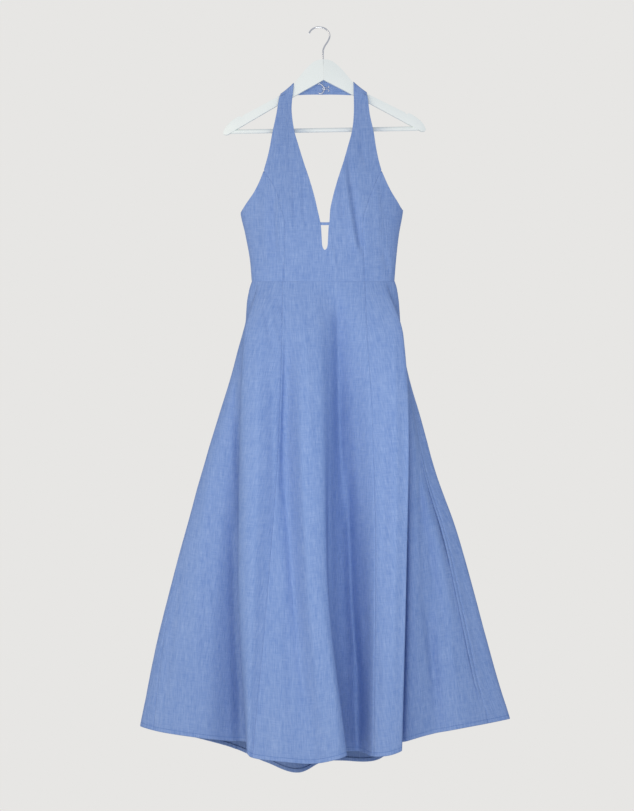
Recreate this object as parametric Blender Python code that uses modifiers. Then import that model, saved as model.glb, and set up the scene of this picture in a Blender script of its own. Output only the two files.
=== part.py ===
"""A linen halter dress hanging on a painted wooden hanger.

Metres, +Z up. The origin is the underside of the crown of the hanger's hook, where a peg or a rail
carries it. +X is to the right as the front is seen, and +Y runs from the front to the back.
Tables are in millimetres: x from the dress's centre line, y from the hook's plane, positive to the
back, and drop from the origin down.
"""

import math

import bmesh
import bpy
import numpy as np

MM = 0.001
CENTRE_LINE = 8.1 * MM      # the dress's centre line is this far right of the hook's crown
CLOTH = 1.2 * MM            # wall of every cloth piece
SEAM_GAP = 0.34 * MM        # between pieces that are sewn together
SIDE_GAP = 0.5 * MM         # at the side seams, where the cloth turns sharply
ELASTIC_GATHERS = 10        # soft folds that the elastic draws in across the back
GATHER_DEPTH = 2.5

WAIST_DROP = 546            # the waist seam at the side seams
WAIST_FRONT_SAG = 3
WAIST_BACK_SAG = 20         # no strap holds the back up, so it sinks
KEYHOLE_TIP = 481.6
KEYHOLE_SIDE = 464.5        # above here the keyhole's sides are straight
UNDERARM = {"left": 399, "right": 390}
PRINCESS_TOP = 312.5        # where the princess seams run out into the armholes
STRAP_TOP = 147             # the last row of the straps before they turn over the hanger
BACK_NECK_DROP = 492        # top edge of the back at its lowest

LINEN_BLUE = (0.185, 0.305, 0.642)
PAINT_WHITE = (0.78, 0.82, 0.80)
WIRE_SILVER = (0.72, 0.73, 0.74)

# The bodice as one closed oval at each drop: its sides, and how far front and back stand off them.
# Above the underarm only the front is left, and it flattens into the straps.
BODICE_OVAL = (
    # drop left right side_y front back
    (108, -184, 176, 0, 1, 30),
    (147, -184, 176, 0, 4, 30),
    (187, -184, 176, -1, 12, 30),
    (266, -184, 176, -1, 34, 30),
    (330, -184, 176, 0, 48, 30),
    (399, -179, 170, 2, 54, 30),
    (444, -169, 162, 3, 54, 30),
    (507, -158, 155, 4, 48, 30),
    (546, -155, 152, 4, 44, 30),
)
BUST = {"x": 88, "drop": 410, "width": 46, "height": 62, "depth": 8}

# Edges of the bodice's front pieces, x of the left and the right one at each drop.
ARMHOLE = (
    (143, -93.5, 92.8), (147, -95, 94), (187, -102, 99), (226, -110, 107), (266, -117, 113),
    (305, -127, 122), (330, -136, 132), (356, -149, 145), (380, -166, 160.5), (399, -179, 172),
)
NECK_EDGE = (
    (120, -65, 64.2), (147, -67.4, 64.6), (174, -69.3, 64.9), (200, -67.3, 63.7),
    (227, -62.7, 60), (253, -55.3, 53.2), (293, -43.3, 42), (332, -30.4, 29.5),
    (371, -19.3, 18.8), (397, -13.3, 13.6), (422, -7.7, 11.9), (429, -6.4, 10.6),
    (464.5, -4.1, 8.7),
)
PRINCESS_SEAM = (
    (312.5, -128.1, 123.3), (319, -123.2, 119.8), (347, -105.6, 107.3), (364, -99, 100.4),
    (384, -94.9, 93.9), (410, -85.9, 85.6), (422, -82.9, 84.1), (452, -83.7, 83.9),
    (508, -85.5, 86.7), (548, -87.7, 87.5),
)

# Where each upright fold or seam of the skirt runs, from the left side across the front, and then
# from the right side across the back: its angle round the waist, then x and y at the hip, the
# thigh, the knee and the hem, and the hem's drop.
STATIONS = (0.0, 0.12, 0.30, 0.62, 1.0)
SKIRT_FOLDS = (
    # name angle hip_x hip_y thigh_x thigh_y knee_x knee_y hem_x hem_y drop
    ("left_tip", 0, -176, 4, -227, 4, -316, 4, -394, 4, 1506),
    ("left_wing_side", 7, -173, -8, -215, -16, -292, -22, -353, -30, 1513),
    ("left_wing", 13, -169, -16, -197, -26, -246, -40, -269, -50, 1524),
    ("left_wing_dip", 18, -165, -20, -180, -16, -199, -8, -199, -4, 1536),
    ("left_tuck", 23, -160, -28, -165, -22, -164, -16, -145, -12, 1539),
    ("left_fold", 29, -170, -48, -178, -66, -181, -84, -163, -90, 1546),
    ("left_lobe", 38, -144, -66, -152, -88, -158, -108, -159, -112, 1552),
    ("front_seam_left", 55.5, -89, -62, -94, -74, -116, -96, -151, -110, 1557),
    ("left_crest", 57.7, -83, -60, -87, -70, -88, -96, -92, -124, 1563),
    ("front_dip", 60.5, -76, -60, -78, -69, -63, -90, -27, -122, 1568),
    ("middle_crest", 71, -46, -72, -44, -96, -31, -120, 13, -138, 1560),
    ("middle_fold", 82, -15, -64, -11, -86, 1, -108, 45, -128, 1551),
    ("middle_tuck", 87.6, 2, -54, 4, -56, -1, -44, 32, -40, 1553),
    ("valley", 95.7, 28, -46, 28, -38, 39, -26, 62, -22, 1559),
    ("right_rise", 110.6, 60, -52, 66, -54, 77, -58, 85, -66, 1558),
    ("front_seam_right", 126, 93, -60, 103, -78, 109, -92, 105, -98, 1557),
    ("right_lobe", 137, 130, -62, 143, -88, 144, -106, 140, -108, 1552),
    ("right_fold", 147.7, 169, -46, 179, -72, 173, -92, 164, -96, 1544),
    ("right_tuck", 152.5, 163, -26, 165, -26, 155, -24, 146, -22, 1540),
    ("right_wing_dip", 156, 165, -18, 176, -20, 189, -20, 202, -20, 1521),
    ("right_wing", 164, 166, -12, 190, -20, 245, -34, 287, -44, 1505),
    ("right_wing_side", 172, 168, -4, 199, -9, 282, -18, 359, -26, 1496),
    ("right_tip", 180, 168, 4, 207, 4, 306, 4, 400, 4, 1490),
    ("back_right_side", 190, 157, 20, 187, 26, 268, 34, 353, 42, 1503),
    ("back_right_wave", 211, 122, 30, 144, 42, 193, 54, 254, 66, 1520),
    ("back_seam_right", 232, 83, 36, 96, 36, 133, 36, 172, 44, 1543),
    ("back_right_crest", 248, 44, 40, 53, 52, 79, 64, 116, 82, 1591),
    ("back_middle_dip", 262, 5, 42, 10, 44, 8, 46, 2, 58, 1590),
    ("back_middle", 277, -34, 41, -32, 36, -45, 28, -56, 22, 1609),
    ("back_left_crest", 292, -65, 38, -69, 48, -95, 56, -126, 58, 1592),
    ("back_seam_left", 308, -95, 34, -106, 42, -156, 52, -192, 66, 1564),
    ("back_left_wave", 329, -130, 28, -151, 32, -221, 40, -280, 46, 1536),
    ("back_left_side", 350, -162, 18, -203, 24, -279, 32, -349, 36, 1517),
)
FOLD = {row[0]: number for number, row in enumerate(SKIRT_FOLDS)}
# The side seams wander across the folds: the row that each lies on at every station.
SIDE_SEAM = {
    "left": (0.0, -0.3, -0.3, 0.3, 0.8),
    "right": (22.0, 21.2, 20.6, 20.9, 20.9),
}
# How far the outline of each wing stands out past a smooth line, at shares of the way down, and
# how much of that each fold row near the tip takes.
OUTLINE_TRIM = (
    # down left right
    (0, 0, 1), (0.018, 2.2, 3.7), (0.04, 2.6, 4.0), (0.067, 0.4, 2.6), (0.094, -2.4, 0.2),
    (0.12, -1, -2.6), (0.155, 0.2, -4.5), (0.215, -1.6, -4.5), (0.25, -2.3, -3.8),
    (0.31, -1.8, -1.5), (0.36, -1.2, -2.6), (0.41, -1.9, -5.6), (0.46, -2.3, -7.1),
    (0.5, -3, -6.4), (0.55, -4, -5.2), (0.62, -3, -5.7), (0.70, -1, -6.2), (0.76, 1.2, -6.0),
    (0.82, 2.9, -5.2), (0.88, 3.2, -4.2), (0.94, 2.4, -1.8), (0.975, 2.5, 0.8), (1, 2, 2),
)
TRIM_SHARE = {
    "left": {"left_tip": 1, "left_wing_side": 0.85, "left_wing": 0.4, "back_left_side": 0.85,
             "back_left_wave": 0.2},
    "right": {"right_tip": 1, "right_wing_side": 0.85, "right_wing": 0.4,
              "back_right_side": 0.85, "back_right_wave": 0.2},
}
SKIRT_ROWS = (0, 0.03, 0.07, 0.12, 0.2, 0.3, 0.42, 0.56, 0.7, 0.85, 1.0)

# The hanger, from the middle of the top of its head: each arm's reach, top, bottom and thickness.
HEAD_TOP = (-1.2, 68.4)     # x and drop
HANGER_TILT = math.radians(-1)
ARM_SWEEP = math.tan(math.radians(5))
ARM = (
    # reach top bottom thickness
    (0.15, 0, -44, 13), (9, -0.8, -48.8, 13), (17, -3.2, -53, 13), (27, -9.8, -58.3, 13),
    (38, -20, -64, 13), (50, -34, -70.4, 13), (63.6, -49.6, -77.6, 13), (78, -62.5, -84.9, 13),
    (95, -74.8, -93.5, 13), (130, -93, -112.6, 13), (165, -110.9, -131.8, 13),
    (174, -115.3, -136.8, 13), (177, -118.8, -138.5, 13), (180, -118.8, -140.1, 13),
    (183, -117.6, -141.8, 13), (190, -120.6, -145.6, 13), (203, -129.5, -153, 13),
    (211, -137, -156.8, 12), (216.5, -145, -156.4, 10), (219, -150, -154, 6),
)
ARM_ROUNDING = 3.5
BAR = {"drop": 150, "radius": 4.7, "reach": 203}
SOCKET_PLAY = 0.3
STEM_DEPTH = 11             # how far the hook's stem goes into the head
HOOK_WIRE = 1.75
HOOK_ROUTE = (              # x and drop of the wire's middle, tip first
    (-32.2, 13.2), (-28, 5.6), (-19.5, -0.2), (-8.1, -1.75), (3.4, 1.6), (11, 9.8),
    (12.6, 19.4), (8.6, 29.1), (2.6, 38.4), (-0.9, 46.6), (-1.6, 53.9), (-1.6, 66), (-1.6, 79),
)

# The neck band behind the hanger: lower and upper edge, from each strap to the ends that hook.
BAND = (
    # x of the lower edge, its drop, x of the upper edge, its drop
    (84, 142.5, 62, 116.5), (62, 143.3, 50, 113.5), (38, 142.6, 34, 111.6),
    (18, 142.4, 17, 111.2), (0.6, 142.9, 0.6, 111.6),
)
BAND_MIDDLE = -2.4
HOOK_EYE_WIRE = 0.6
EYE_ROUTE = (
    (-12.5, -122.4), (-10.6, -119.6), (-7.4, -120.2), (-3.2, -123.2), (0.8, -127.4), (1.2, -132),
    (-0.8, -136.8), (-4.4, -140), (-8.2, -141), (-11, -139.6),
)
HOOK_END_ROUTE = (
    (9.4, -124.4), (11.2, -127.2), (8.4, -128.6), (3, -128.7), (-1.4, -129.1), (-2.4, -130.4),
    (-1.4, -131.7), (3, -132.1), (8.4, -132.2), (11.2, -133.8), (9.6, -136.6),
)


def monotone(at, knots, values):
    """Reads a cubic curve through the knots that never swings past them."""
    at = np.asarray(at, float)
    knots = np.asarray(knots, float)
    values = np.asarray(values, float)
    step = np.diff(knots)
    slope = np.diff(values) / step
    tangent = np.empty_like(values)
    tangent[0] = slope[0]
    tangent[-1] = slope[-1]
    before = 2 * step[1:] + step[:-1]
    after = step[1:] + 2 * step[:-1]
    same_way = slope[:-1] * slope[1:] > 0
    safe_left = np.where(same_way, slope[:-1], 1)
    safe_right = np.where(same_way, slope[1:], 1)
    mean = (before + after) / (before / safe_left + after / safe_right)
    tangent[1:-1] = np.where(same_way, mean, 0)
    place = np.clip(np.searchsorted(knots, at, side="right") - 1, 0, len(knots) - 2)
    width = step[place]
    part = np.clip((at - knots[place]) / width, 0, 1)
    square = part * part
    cube = square * part
    start = (2 * cube - 3 * square + 1) * values[place]
    end = (3 * square - 2 * cube) * values[place + 1]
    leave = (cube - 2 * square + part) * width * tangent[place]
    arrive = (cube - square) * width * tangent[place + 1]
    return start + end + leave + arrive


def smooth_curve(points, at, closed):
    """Reads a curve through the points, which rounds close and far ones alike without loops."""
    points = np.asarray(points, float)
    count = len(points)
    at = np.asarray(at, float)
    if closed:
        first = np.floor(at).astype(int)
        index = [(first + k) % count for k in (-1, 0, 1, 2)]
        p = [points[i] for i in index]
    else:
        first = np.clip(np.floor(at).astype(int), 0, count - 2)
        ends = np.vstack((2 * points[0] - points[1], points, 2 * points[-1] - points[-2]))
        p = [ends[first + k] for k in (0, 1, 2, 3)]
    knots = [np.zeros(len(at))]
    for a, b in zip(p[:-1], p[1:]):
        knots.append(knots[-1] + np.sqrt(np.linalg.norm(b - a, axis=1)))
    where = knots[1] + (at - first) * (knots[2] - knots[1])

    def between(a, b, low, high):
        share = ((where - low) / (high - low))[:, None]
        return a * (1 - share) + b * share

    level = [between(p[k], p[k + 1], knots[k], knots[k + 1]) for k in range(3)]
    upper = [between(level[k], level[k + 1], knots[k], knots[k + 2]) for k in range(2)]
    return between(upper[0], upper[1], knots[1], knots[2])


def table_column(table, column, drop):
    """Reads one column of a table whose first column is the drop."""
    return monotone(drop, [row[0] for row in table], [row[column] for row in table])


def oval_point(angle, drop):
    """A point of the bodice's oval: 0 at the left side, 90 in front, 180 right, 270 behind."""
    turn = np.radians(angle)
    left, right, side, front, back = (
        table_column(BODICE_OVAL, column, drop) for column in range(1, 6)
    )
    x = (left + right) / 2 - (right - left) / 2 * np.cos(turn)
    y = side - np.where(np.sin(turn) > 0, front, back) * np.sin(turn)
    return x, y - bust(x, drop) * np.clip(np.sin(turn), 0, 1)


def bust(x, drop):
    across = (np.abs(x) - BUST["x"]) / BUST["width"]
    down = (drop - BUST["drop"]) / BUST["height"]
    return BUST["depth"] * np.exp(-across ** 2 - down ** 2)


def oval_angle(x, drop):
    """The angle at which the oval's front reaches x."""
    left = table_column(BODICE_OVAL, 1, drop)
    right = table_column(BODICE_OVAL, 2, drop)
    share = (x - (left + right) / 2) / ((right - left) / 2)
    return np.degrees(np.arccos(np.clip(-share, -1, 1)))


def gathers(angle):
    """How far the elastic pushes the back in and out, none at the side seams."""
    share = (np.asarray(angle, float) - 180) / 180
    inside = (share > 0) & (share < 1)
    ends = np.clip(np.minimum(share, 1 - share) / 0.1, 0, 1)
    wave = np.sin(2 * math.pi * ELASTIC_GATHERS * share)
    return np.where(inside, GATHER_DEPTH * wave * ends, 0)


def waist_drop(angle):
    rise = np.sin(np.radians(angle))
    return WAIST_DROP + np.where(rise > 0, WAIST_FRONT_SAG * rise, WAIST_BACK_SAG * rise ** 2)


def skirt_point(rows, down):
    """Points of the skirt on the given fold rows, at a share of the way from waist to hem."""
    angles = [fold[1] for fold in SKIRT_FOLDS]
    count = len(angles)
    numbers = np.arange(-1, count + 2)
    turns = [angles[-1] - 360] + angles + [360, 360 + angles[1]]
    angle = monotone(rows, numbers, turns)
    folds = np.empty((count, 3))
    for number, fold in enumerate(SKIRT_FOLDS):
        waist = waist_drop(fold[1])
        waist_x, waist_y = oval_point(fold[1], float(WAIST_DROP))
        folds[number, 0] = monotone(down, STATIONS, (waist_x,) + fold[2:9:2])
        folds[number, 1] = monotone(down, STATIONS, (waist_y,) + fold[3:10:2])
        folds[number, 2] = waist + (fold[10] - waist) * down
    for sign, side in ((-1, "left"), (1, "right")):
        trim = sign * float(table_column(OUTLINE_TRIM, side_number(side), down))
        for name, share in TRIM_SHARE[side].items():
            folds[FOLD[name], 0] += trim * share
    points = smooth_curve(folds, rows, True)
    fade = max(0.0, 1 - down / 0.1)
    if fade:
        seat = smooth_curve(waist_ring(angles), rows, True)
        true = waist_ring(angle)
        points += (true - seat) * fade
    points[:, 1] += gathers(angle % 360) * max(0.0, 1 - down / 0.16)
    return points


def waist_ring(angles):
    angles = np.asarray(angles, float)
    x, y = oval_point(angles, np.full(len(angles), float(WAIST_DROP)))
    return np.stack((x, y, waist_drop(angles)), axis=1)


def to_metres(grid):
    """Table millimetres to metres, with drop turned into height."""
    return grid * (MM, MM, -MM)


def pull_in(grid, edges, gap=SEAM_GAP):
    """Moves named edges of a grid inwards by half the gap of a seam."""
    for edge in edges:
        view = {
            "bottom": (grid[0], grid[1]),
            "top": (grid[-1], grid[-2]),
            "first": (grid[:, 0], grid[:, 1]),
            "last": (grid[:, -1], grid[:, -2]),
        }[edge]
        away = view[1] - view[0]
        view[0][:] += away / np.linalg.norm(away, axis=-1, keepdims=True) * gap / 2
    return grid


def collection(name):
    made = bpy.data.collections.new(name)
    bpy.context.scene.collection.children.link(made)
    return made


def finish(name, colour, roughness, metallic=0.0):
    material = bpy.data.materials.new(name)
    material.use_nodes = True
    shader = material.node_tree.nodes["Principled BSDF"]
    shader.inputs["Base Color"].default_value = (*colour, 1)
    shader.inputs["Roughness"].default_value = roughness
    shader.inputs["Metallic"].default_value = metallic
    return material


def add_object(name, data, parent, look):
    made = bpy.data.objects.new(name, data)
    made.parent = parent
    PARTS.objects.link(made)
    material = finish(name + "_finish", *look)
    data.materials.append(material)
    return made


def add_cloth(name, bm):
    """One cut piece: its surface, given the cloth's thickness to both sides alike."""
    bmesh.ops.remove_doubles(bm, verts=bm.verts, dist=1e-6)
    bmesh.ops.recalc_face_normals(bm, faces=bm.faces)
    mesh = bpy.data.meshes.new(name)
    bm.to_mesh(mesh)
    bm.free()
    mesh.shade_smooth()
    piece = add_object(name, mesh, DRESS, (LINEN_BLUE, 0.85))
    wall = piece.modifiers.new("cloth", "SOLIDIFY")
    wall.thickness = CLOTH
    wall.offset = 0
    wall.use_even_offset = True
    return piece


def grid_faces(bm, grid):
    """Adds a grid of points to the mesh as rows of four-sided faces."""
    corners = [[bm.verts.new(point) for point in row] for row in grid]
    for low, high in zip(corners[:-1], corners[1:]):
        for k in range(len(low) - 1):
            bm.faces.new((low[k], low[k + 1], high[k + 1], high[k]))


def spread(*stretches):
    """Numbers from stretch to stretch, each (start, end, steps), without repeats."""
    numbers = []
    for start, end, steps in stretches:
        numbers += list(np.linspace(start, end, steps, endpoint=False))
    return numbers + [stretches[-1][1]]


def front_row(drop, start_x, end_x, columns, crowd=1.0):
    """One row of a front bodice piece, on the oval, between two x at one drop. Crowd above 1
    brings its points closer together at the start."""
    drops = np.full(columns + 1, float(drop))
    start = float(oval_angle(start_x, drop))
    end = float(oval_angle(end_x, drop))
    angles = start + (end - start) * np.linspace(0, 1, columns + 1) ** crowd
    x, y = oval_point(angles, drops)
    seat = waist_drop(angles) - WAIST_DROP
    settle = np.clip((drops - KEYHOLE_TIP) / (WAIST_DROP - KEYHOLE_TIP), 0, 1)
    return np.stack((x, y, drops + seat * settle), axis=1)


def side_number(side):
    """The column of a left and right table that holds this side."""
    return 1 if side == "left" else 2


def front_levels(side, top):
    """Drops of the rows of a front piece, closer where its edges turn."""
    underarm = UNDERARM[side]
    levels = spread(
        (WAIST_DROP, KEYHOLE_TIP, 4),
        (KEYHOLE_TIP, KEYHOLE_SIDE, 3),
        (KEYHOLE_SIDE, 429, 2),
        (429, underarm, 2),
        (underarm, PRINCESS_TOP, 7),
    )
    if top == "strap":
        levels += spread((PRINCESS_TOP, 187, 6), (187, STRAP_TOP, 3))[1:]
    return levels


def keyhole_edge(side, drop):
    """The neck edge, with the round tip of the keyhole below its straight sides."""
    column = side_number(side)
    if drop <= KEYHOLE_SIDE:
        return float(table_column(NECK_EDGE, column, drop))
    middle = (NECK_EDGE[-1][1] + NECK_EDGE[-1][2]) / 2
    if drop >= KEYHOLE_TIP:
        return middle
    share = (drop - KEYHOLE_SIDE) / (KEYHOLE_TIP - KEYHOLE_SIDE)
    half = (NECK_EDGE[-1][2] - NECK_EDGE[-1][1]) / 2 * math.sqrt(1 - share ** 2)
    return middle - half if side == "left" else middle + half


def arm_top(x):
    """Drop of the top of the tilted hanger's arm at this x of the dress."""
    reaches = [row[0] for row in ARM]
    tops = [row[1] for row in ARM]
    along = x - HEAD_TOP[0]
    for _ in range(2):
        top = monotone(np.abs(along), reaches, tops)
        along = x - HEAD_TOP[0] - top * math.sin(HANGER_TILT)
    return HEAD_TOP[1] - top + along * math.sin(HANGER_TILT)


def arm_middle(x):
    """y of the middle of the hanger's arm at this x."""
    return np.abs(x - HEAD_TOP[0]) * ARM_SWEEP


def strap_turn(side, columns):
    """Rows of a strap over the arm of the hanger, then along the neck band to its end."""
    column = side_number(side)
    sign = -1 if side == "left" else 1
    inner = NECK_EDGE[0][column]
    outer = ARMHOLE[0][column]
    x = np.linspace(outer, inner, columns + 1)
    face = ARM[0][3] / 2 + 1.5
    rows = []
    # height over the wood's top edge, and place across its thickness
    for lift, across in ((-4, -1), (0.4, -0.85), (1.9, -0.35), (1.9, 0.35), (0.4, 0.85), (-4, 1)):
        y = arm_middle(x) + face * across
        rows.append(np.stack((x, y, arm_top(x) - lift), axis=1))
    share = np.linspace(0, 1, columns + 1)
    for low_x, low_drop, high_x, high_drop in BAND:
        x = sign * (low_x + (high_x - low_x) * share) + BAND_MIDDLE * (1 - low_x / BAND[0][0])
        drops = low_drop + (high_drop - low_drop) * share
        rows.append(np.stack((x, arm_middle(x) + face, drops), axis=1))
    return rows


def bodice_centre_front():
    """Both centre fronts in one below the keyhole, each with its strap and half the neck band."""
    bm = bmesh.new()
    columns = 6
    for side in ("left", "right"):
        column = side_number(side)
        rows = []
        seam_rows = []
        for drop in front_levels(side, "strap"):
            below = drop >= PRINCESS_TOP
            outer = float(table_column(PRINCESS_SEAM if below else ARMHOLE, column, drop))
            rows.append(front_row(drop, outer, keyhole_edge(side, drop), columns))
            seam_rows.append(below)
        rows += strap_turn(side, columns)
        grid = to_metres(np.array(rows))
        sewn = sum(seam_rows)
        pull_in(grid[:sewn], ("first",))
        pull_in(grid, ("bottom",))
        grid_faces(bm, grid)
    return add_cloth("bodice_centre_front", bm)


def bodice_side_front(side):
    """From the side seam and the armhole to the princess seam."""
    column = side_number(side)
    columns = 5
    rows = []
    for drop in front_levels(side, "princess seam"):
        if drop >= UNDERARM[side]:
            outer = float(table_column(BODICE_OVAL, column, drop))
        else:
            outer = float(table_column(ARMHOLE, column, drop))
        seam = float(table_column(PRINCESS_SEAM, column, drop))
        rows.append(front_row(drop, outer, seam, columns, 1.4))
    grid = to_metres(np.array(rows))
    below = sum(drop >= UNDERARM[side] for drop in front_levels(side, "princess seam"))
    pull_in(grid, ("last", "bottom"))
    pull_in(grid[:below], ("first",), SIDE_GAP)
    bm = bmesh.new()
    grid_faces(bm, grid)
    return add_cloth("bodice_side_front_" + side, bm)


def bodice_back():
    """Low back, highest at the side seams, drawn in by elastic."""
    angles = np.array(spread((180, 360, 54)))
    depth = np.sin(np.radians(angles)) ** 2
    sides = np.where(angles < 270, UNDERARM["right"], UNDERARM["left"])
    steep = 1 - (1 - depth) ** 2
    top = sides + 3 + (BACK_NECK_DROP - sides) * steep ** 0.8
    bottom = waist_drop(angles)
    rows = []
    for share in spread((0, 1, 5)):
        drops = bottom + (top - bottom) * share
        x, y = oval_point(angles, np.minimum(drops, WAIST_DROP))
        rows.append(np.stack((x, y + gathers(angles), drops), axis=1))
    grid = to_metres(np.array(rows))
    pull_in(grid, ("bottom",))
    pull_in(grid, ("first", "last"), SIDE_GAP)
    bm = bmesh.new()
    grid_faces(bm, grid)
    return add_cloth("bodice_back", bm)


def keyhole_bar():
    """A narrow strap behind the neck edges, which holds the V together over the keyhole."""
    drops = (428.4, 422.6)
    lap = 6
    rows = []
    for drop in drops:
        x = np.linspace(NECK_EDGE[-2][1] - lap, NECK_EDGE[-2][2] + lap, 7)
        angle = oval_angle(x, drop)
        _, y = oval_point(angle, np.full(len(x), drop))
        sag = 0.6 * np.sin(np.linspace(0, math.pi, len(x)))
        behind = CLOTH / MM + 0.4
        rows.append(np.stack((x, y + behind, drop + sag), axis=1))
    bm = bmesh.new()
    grid_faces(bm, to_metres(np.array(rows)))
    return add_cloth("keyhole_bar", bm)


def skirt_gore(name, stretches):
    """One gore: stretches of fold rows, (start, end, columns), where a start or an end may be a
    side seam, which moves from row to row on its way down."""
    rows = []
    for down in SKIRT_ROWS:
        at = []
        for start, end, steps in stretches:
            low = side_row(start, down) if isinstance(start, tuple) else start
            high = side_row(end, down) if isinstance(end, tuple) else end
            at.append((low, high, steps))
        rows.append(skirt_point(np.array(spread(*at)), down))
    grid = to_metres(np.array(rows))
    pull_in(grid, ("bottom",))
    for edge, row in (("first", stretches[0][0]), ("last", stretches[-1][1])):
        pull_in(grid, (edge,), SIDE_GAP if isinstance(row, tuple) else SEAM_GAP)
    bm = bmesh.new()
    grid_faces(bm, grid)
    return add_cloth(name, bm)


def side_row(seam, down):
    """The fold row of a side seam at this share of the way down; (side, turns round the ring)."""
    side, turns = seam
    return float(monotone(down, STATIONS, SIDE_SEAM[side])) + turns * len(SKIRT_FOLDS)


def each_row(start, end, columns):
    return [(row, row + 1, columns) for row in range(start, end)]


def skirt():
    """Six gores, three in front and three behind."""
    left = FOLD["front_seam_left"]
    right = FOLD["front_seam_right"]
    back_right = FOLD["back_seam_right"]
    back_left = FOLD["back_seam_left"]
    count = len(SKIRT_FOLDS)
    skirt_gore("skirt_side_front_left", [(("left", 0), 1, 4)] + each_row(1, left, 3))
    skirt_gore("skirt_centre_front", each_row(left, right, 3))
    skirt_gore("skirt_side_front_right", each_row(right, 20, 3) + [(20, ("right", 0), 6)])
    skirt_gore("skirt_side_back_right", [(("right", 0), 23, 8)] + each_row(23, back_right, 6))
    skirt_gore("skirt_centre_back", each_row(back_right, back_left, 6))
    skirt_gore(
        "skirt_side_back_left",
        each_row(back_left, count - 1, 6) + [(count - 1, ("left", 1), 8)],
    )


def wire(name, route, radius, steps, parent, look):
    """A round wire through the points of its route."""
    at = np.linspace(0, len(route) - 1, steps + 1)
    curve = bpy.data.curves.new(name, "CURVE")
    curve.dimensions = "3D"
    curve.bevel_depth = radius
    curve.bevel_resolution = 2
    curve.use_fill_caps = True
    spline = curve.splines.new("POLY")
    spline.points.add(steps)
    for point, place in zip(spline.points, smooth_curve(route, at, False)):
        point.co = (*place, 1)
    return add_object(name, curve, parent, look)


def hanger_arm(side):
    """A wooden arm, deep and arched at the head, slim and rounded at its tip."""
    sign = -1 if side == "left" else 1
    quarter = [math.radians(angle) for angle in (0, 45, 90)]
    bm = bmesh.new()
    rings = []
    for reach, top, bottom, thick in ARM:
        middle = (top + bottom) / 2
        half_height = (top - bottom) / 2
        rounding = min(ARM_ROUNDING, half_height - 0.2, thick / 2 - 0.2)
        ring = []
        for turn in range(4):
            across = -1 if turn in (1, 2) else 1
            up = 1 if turn in (0, 1) else -1
            for angle in quarter:
                swing = angle + turn * math.pi / 2
                y = across * (thick / 2 - rounding) + rounding * math.cos(swing)
                z = middle + up * (half_height - rounding) + rounding * math.sin(swing)
                ring.append(bm.verts.new((
                    sign * reach * MM,
                    (y + reach * ARM_SWEEP) * MM,
                    z * MM,
                )))
        rings.append(ring)
    for near, far in zip(rings[:-1], rings[1:]):
        for k in range(len(near)):
            after = (k + 1) % len(near)
            bm.faces.new((near[k], near[after], far[after], far[k]))
    bm.faces.new(rings[0])
    bm.faces.new(rings[-1])
    bmesh.ops.recalc_face_normals(bm, faces=bm.faces)
    mesh = bpy.data.meshes.new("hanger_arm_" + side)
    bm.to_mesh(mesh)
    bm.free()
    arm = add_object("hanger_arm_" + side, mesh, HANGER, (PAINT_WHITE, 0.4))
    for cutter in SOCKETS:
        cut = arm.modifiers.new("socket", "BOOLEAN")
        cut.operation = "DIFFERENCE"
        cut.object = cutter
    return arm


def rod(name, radius, length, place, along_x, home, vertices=20):
    """A plain cylinder, upright or along the hanger."""
    bm = bmesh.new()
    bmesh.ops.create_cone(
        bm, cap_ends=True, segments=vertices, radius1=radius, radius2=radius, depth=length
    )
    mesh = bpy.data.meshes.new(name)
    bm.to_mesh(mesh)
    bm.free()
    made = bpy.data.objects.new(name, mesh)
    made.parent = HANGER
    made.location = place
    made.rotation_euler = (0, math.pi / 2, 0) if along_x else (0, 0, 0)
    home.objects.link(made)
    return made


def hanger_sockets():
    """Cutters for the hole that takes the hook's stem and the groove that takes the bar."""
    stem = rod(
        "stem_socket", (HOOK_WIRE + SOCKET_PLAY) * MM, 2 * (STEM_DEPTH + 1) * MM,
        ((HOOK_ROUTE[-1][0] - HEAD_TOP[0]) * MM, 0, 0), False, CUTTERS,
    )
    bar = rod(
        "bar_socket", (BAR["radius"] + SOCKET_PLAY) * MM, 2 * (BAR["reach"] + SOCKET_PLAY) * MM,
        (0, BAR["reach"] * ARM_SWEEP * MM, -BAR["drop"] * MM), True, CUTTERS,
    )
    for cutter in (stem, bar):
        cutter.hide_render = True
        cutter.display_type = "WIRE"
    return stem, bar


def hanger_bar():
    made = rod(
        "hanger_bar", BAR["radius"] * MM, 2 * BAR["reach"] * MM,
        (0, BAR["reach"] * ARM_SWEEP * MM, -BAR["drop"] * MM), True, PARTS, 16,
    )
    made.data.materials.append(finish("hanger_bar_finish", PAINT_WHITE, 0.4))
    return made


def hanger_hook():
    route = [(x * MM, 0, -drop * MM) for x, drop in HOOK_ROUTE]
    return wire("hanger_hook", route, HOOK_WIRE * MM, 44, DRESS, (WIRE_SILVER, 0.25, 1.0))


def neck_fastening():
    """A wire eye on the left end of the band and a wire hook on the right end, caught in it."""
    face = ARM[0][3] / 2 + 1.5 - CLOTH / MM / 2
    flat = face - 0.4 - HOOK_EYE_WIRE
    eye = [(x * MM, flat * MM, z * MM) for x, z in EYE_ROUTE]
    wire("neck_eye", eye, HOOK_EYE_WIRE * MM, 30, DRESS, (WIRE_SILVER, 0.3, 1.0))
    over = flat - 2 * HOOK_EYE_WIRE - 0.4
    hook = []
    for x, z in HOOK_END_ROUTE:
        rise = min(1, max(0, (8.4 - x) / 6))
        hook.append((x * MM, (flat + (over - flat) * rise) * MM, z * MM))
    wire("neck_hook", hook, HOOK_EYE_WIRE * MM, 32, DRESS, (WIRE_SILVER, 0.3, 1.0))


def empty(name, place, parent=None, rotation=(0, 0, 0)):
    made = bpy.data.objects.new(name, None)
    made.location = place
    made.rotation_euler = rotation
    made.parent = parent
    PARTS.objects.link(made)
    return made


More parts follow.
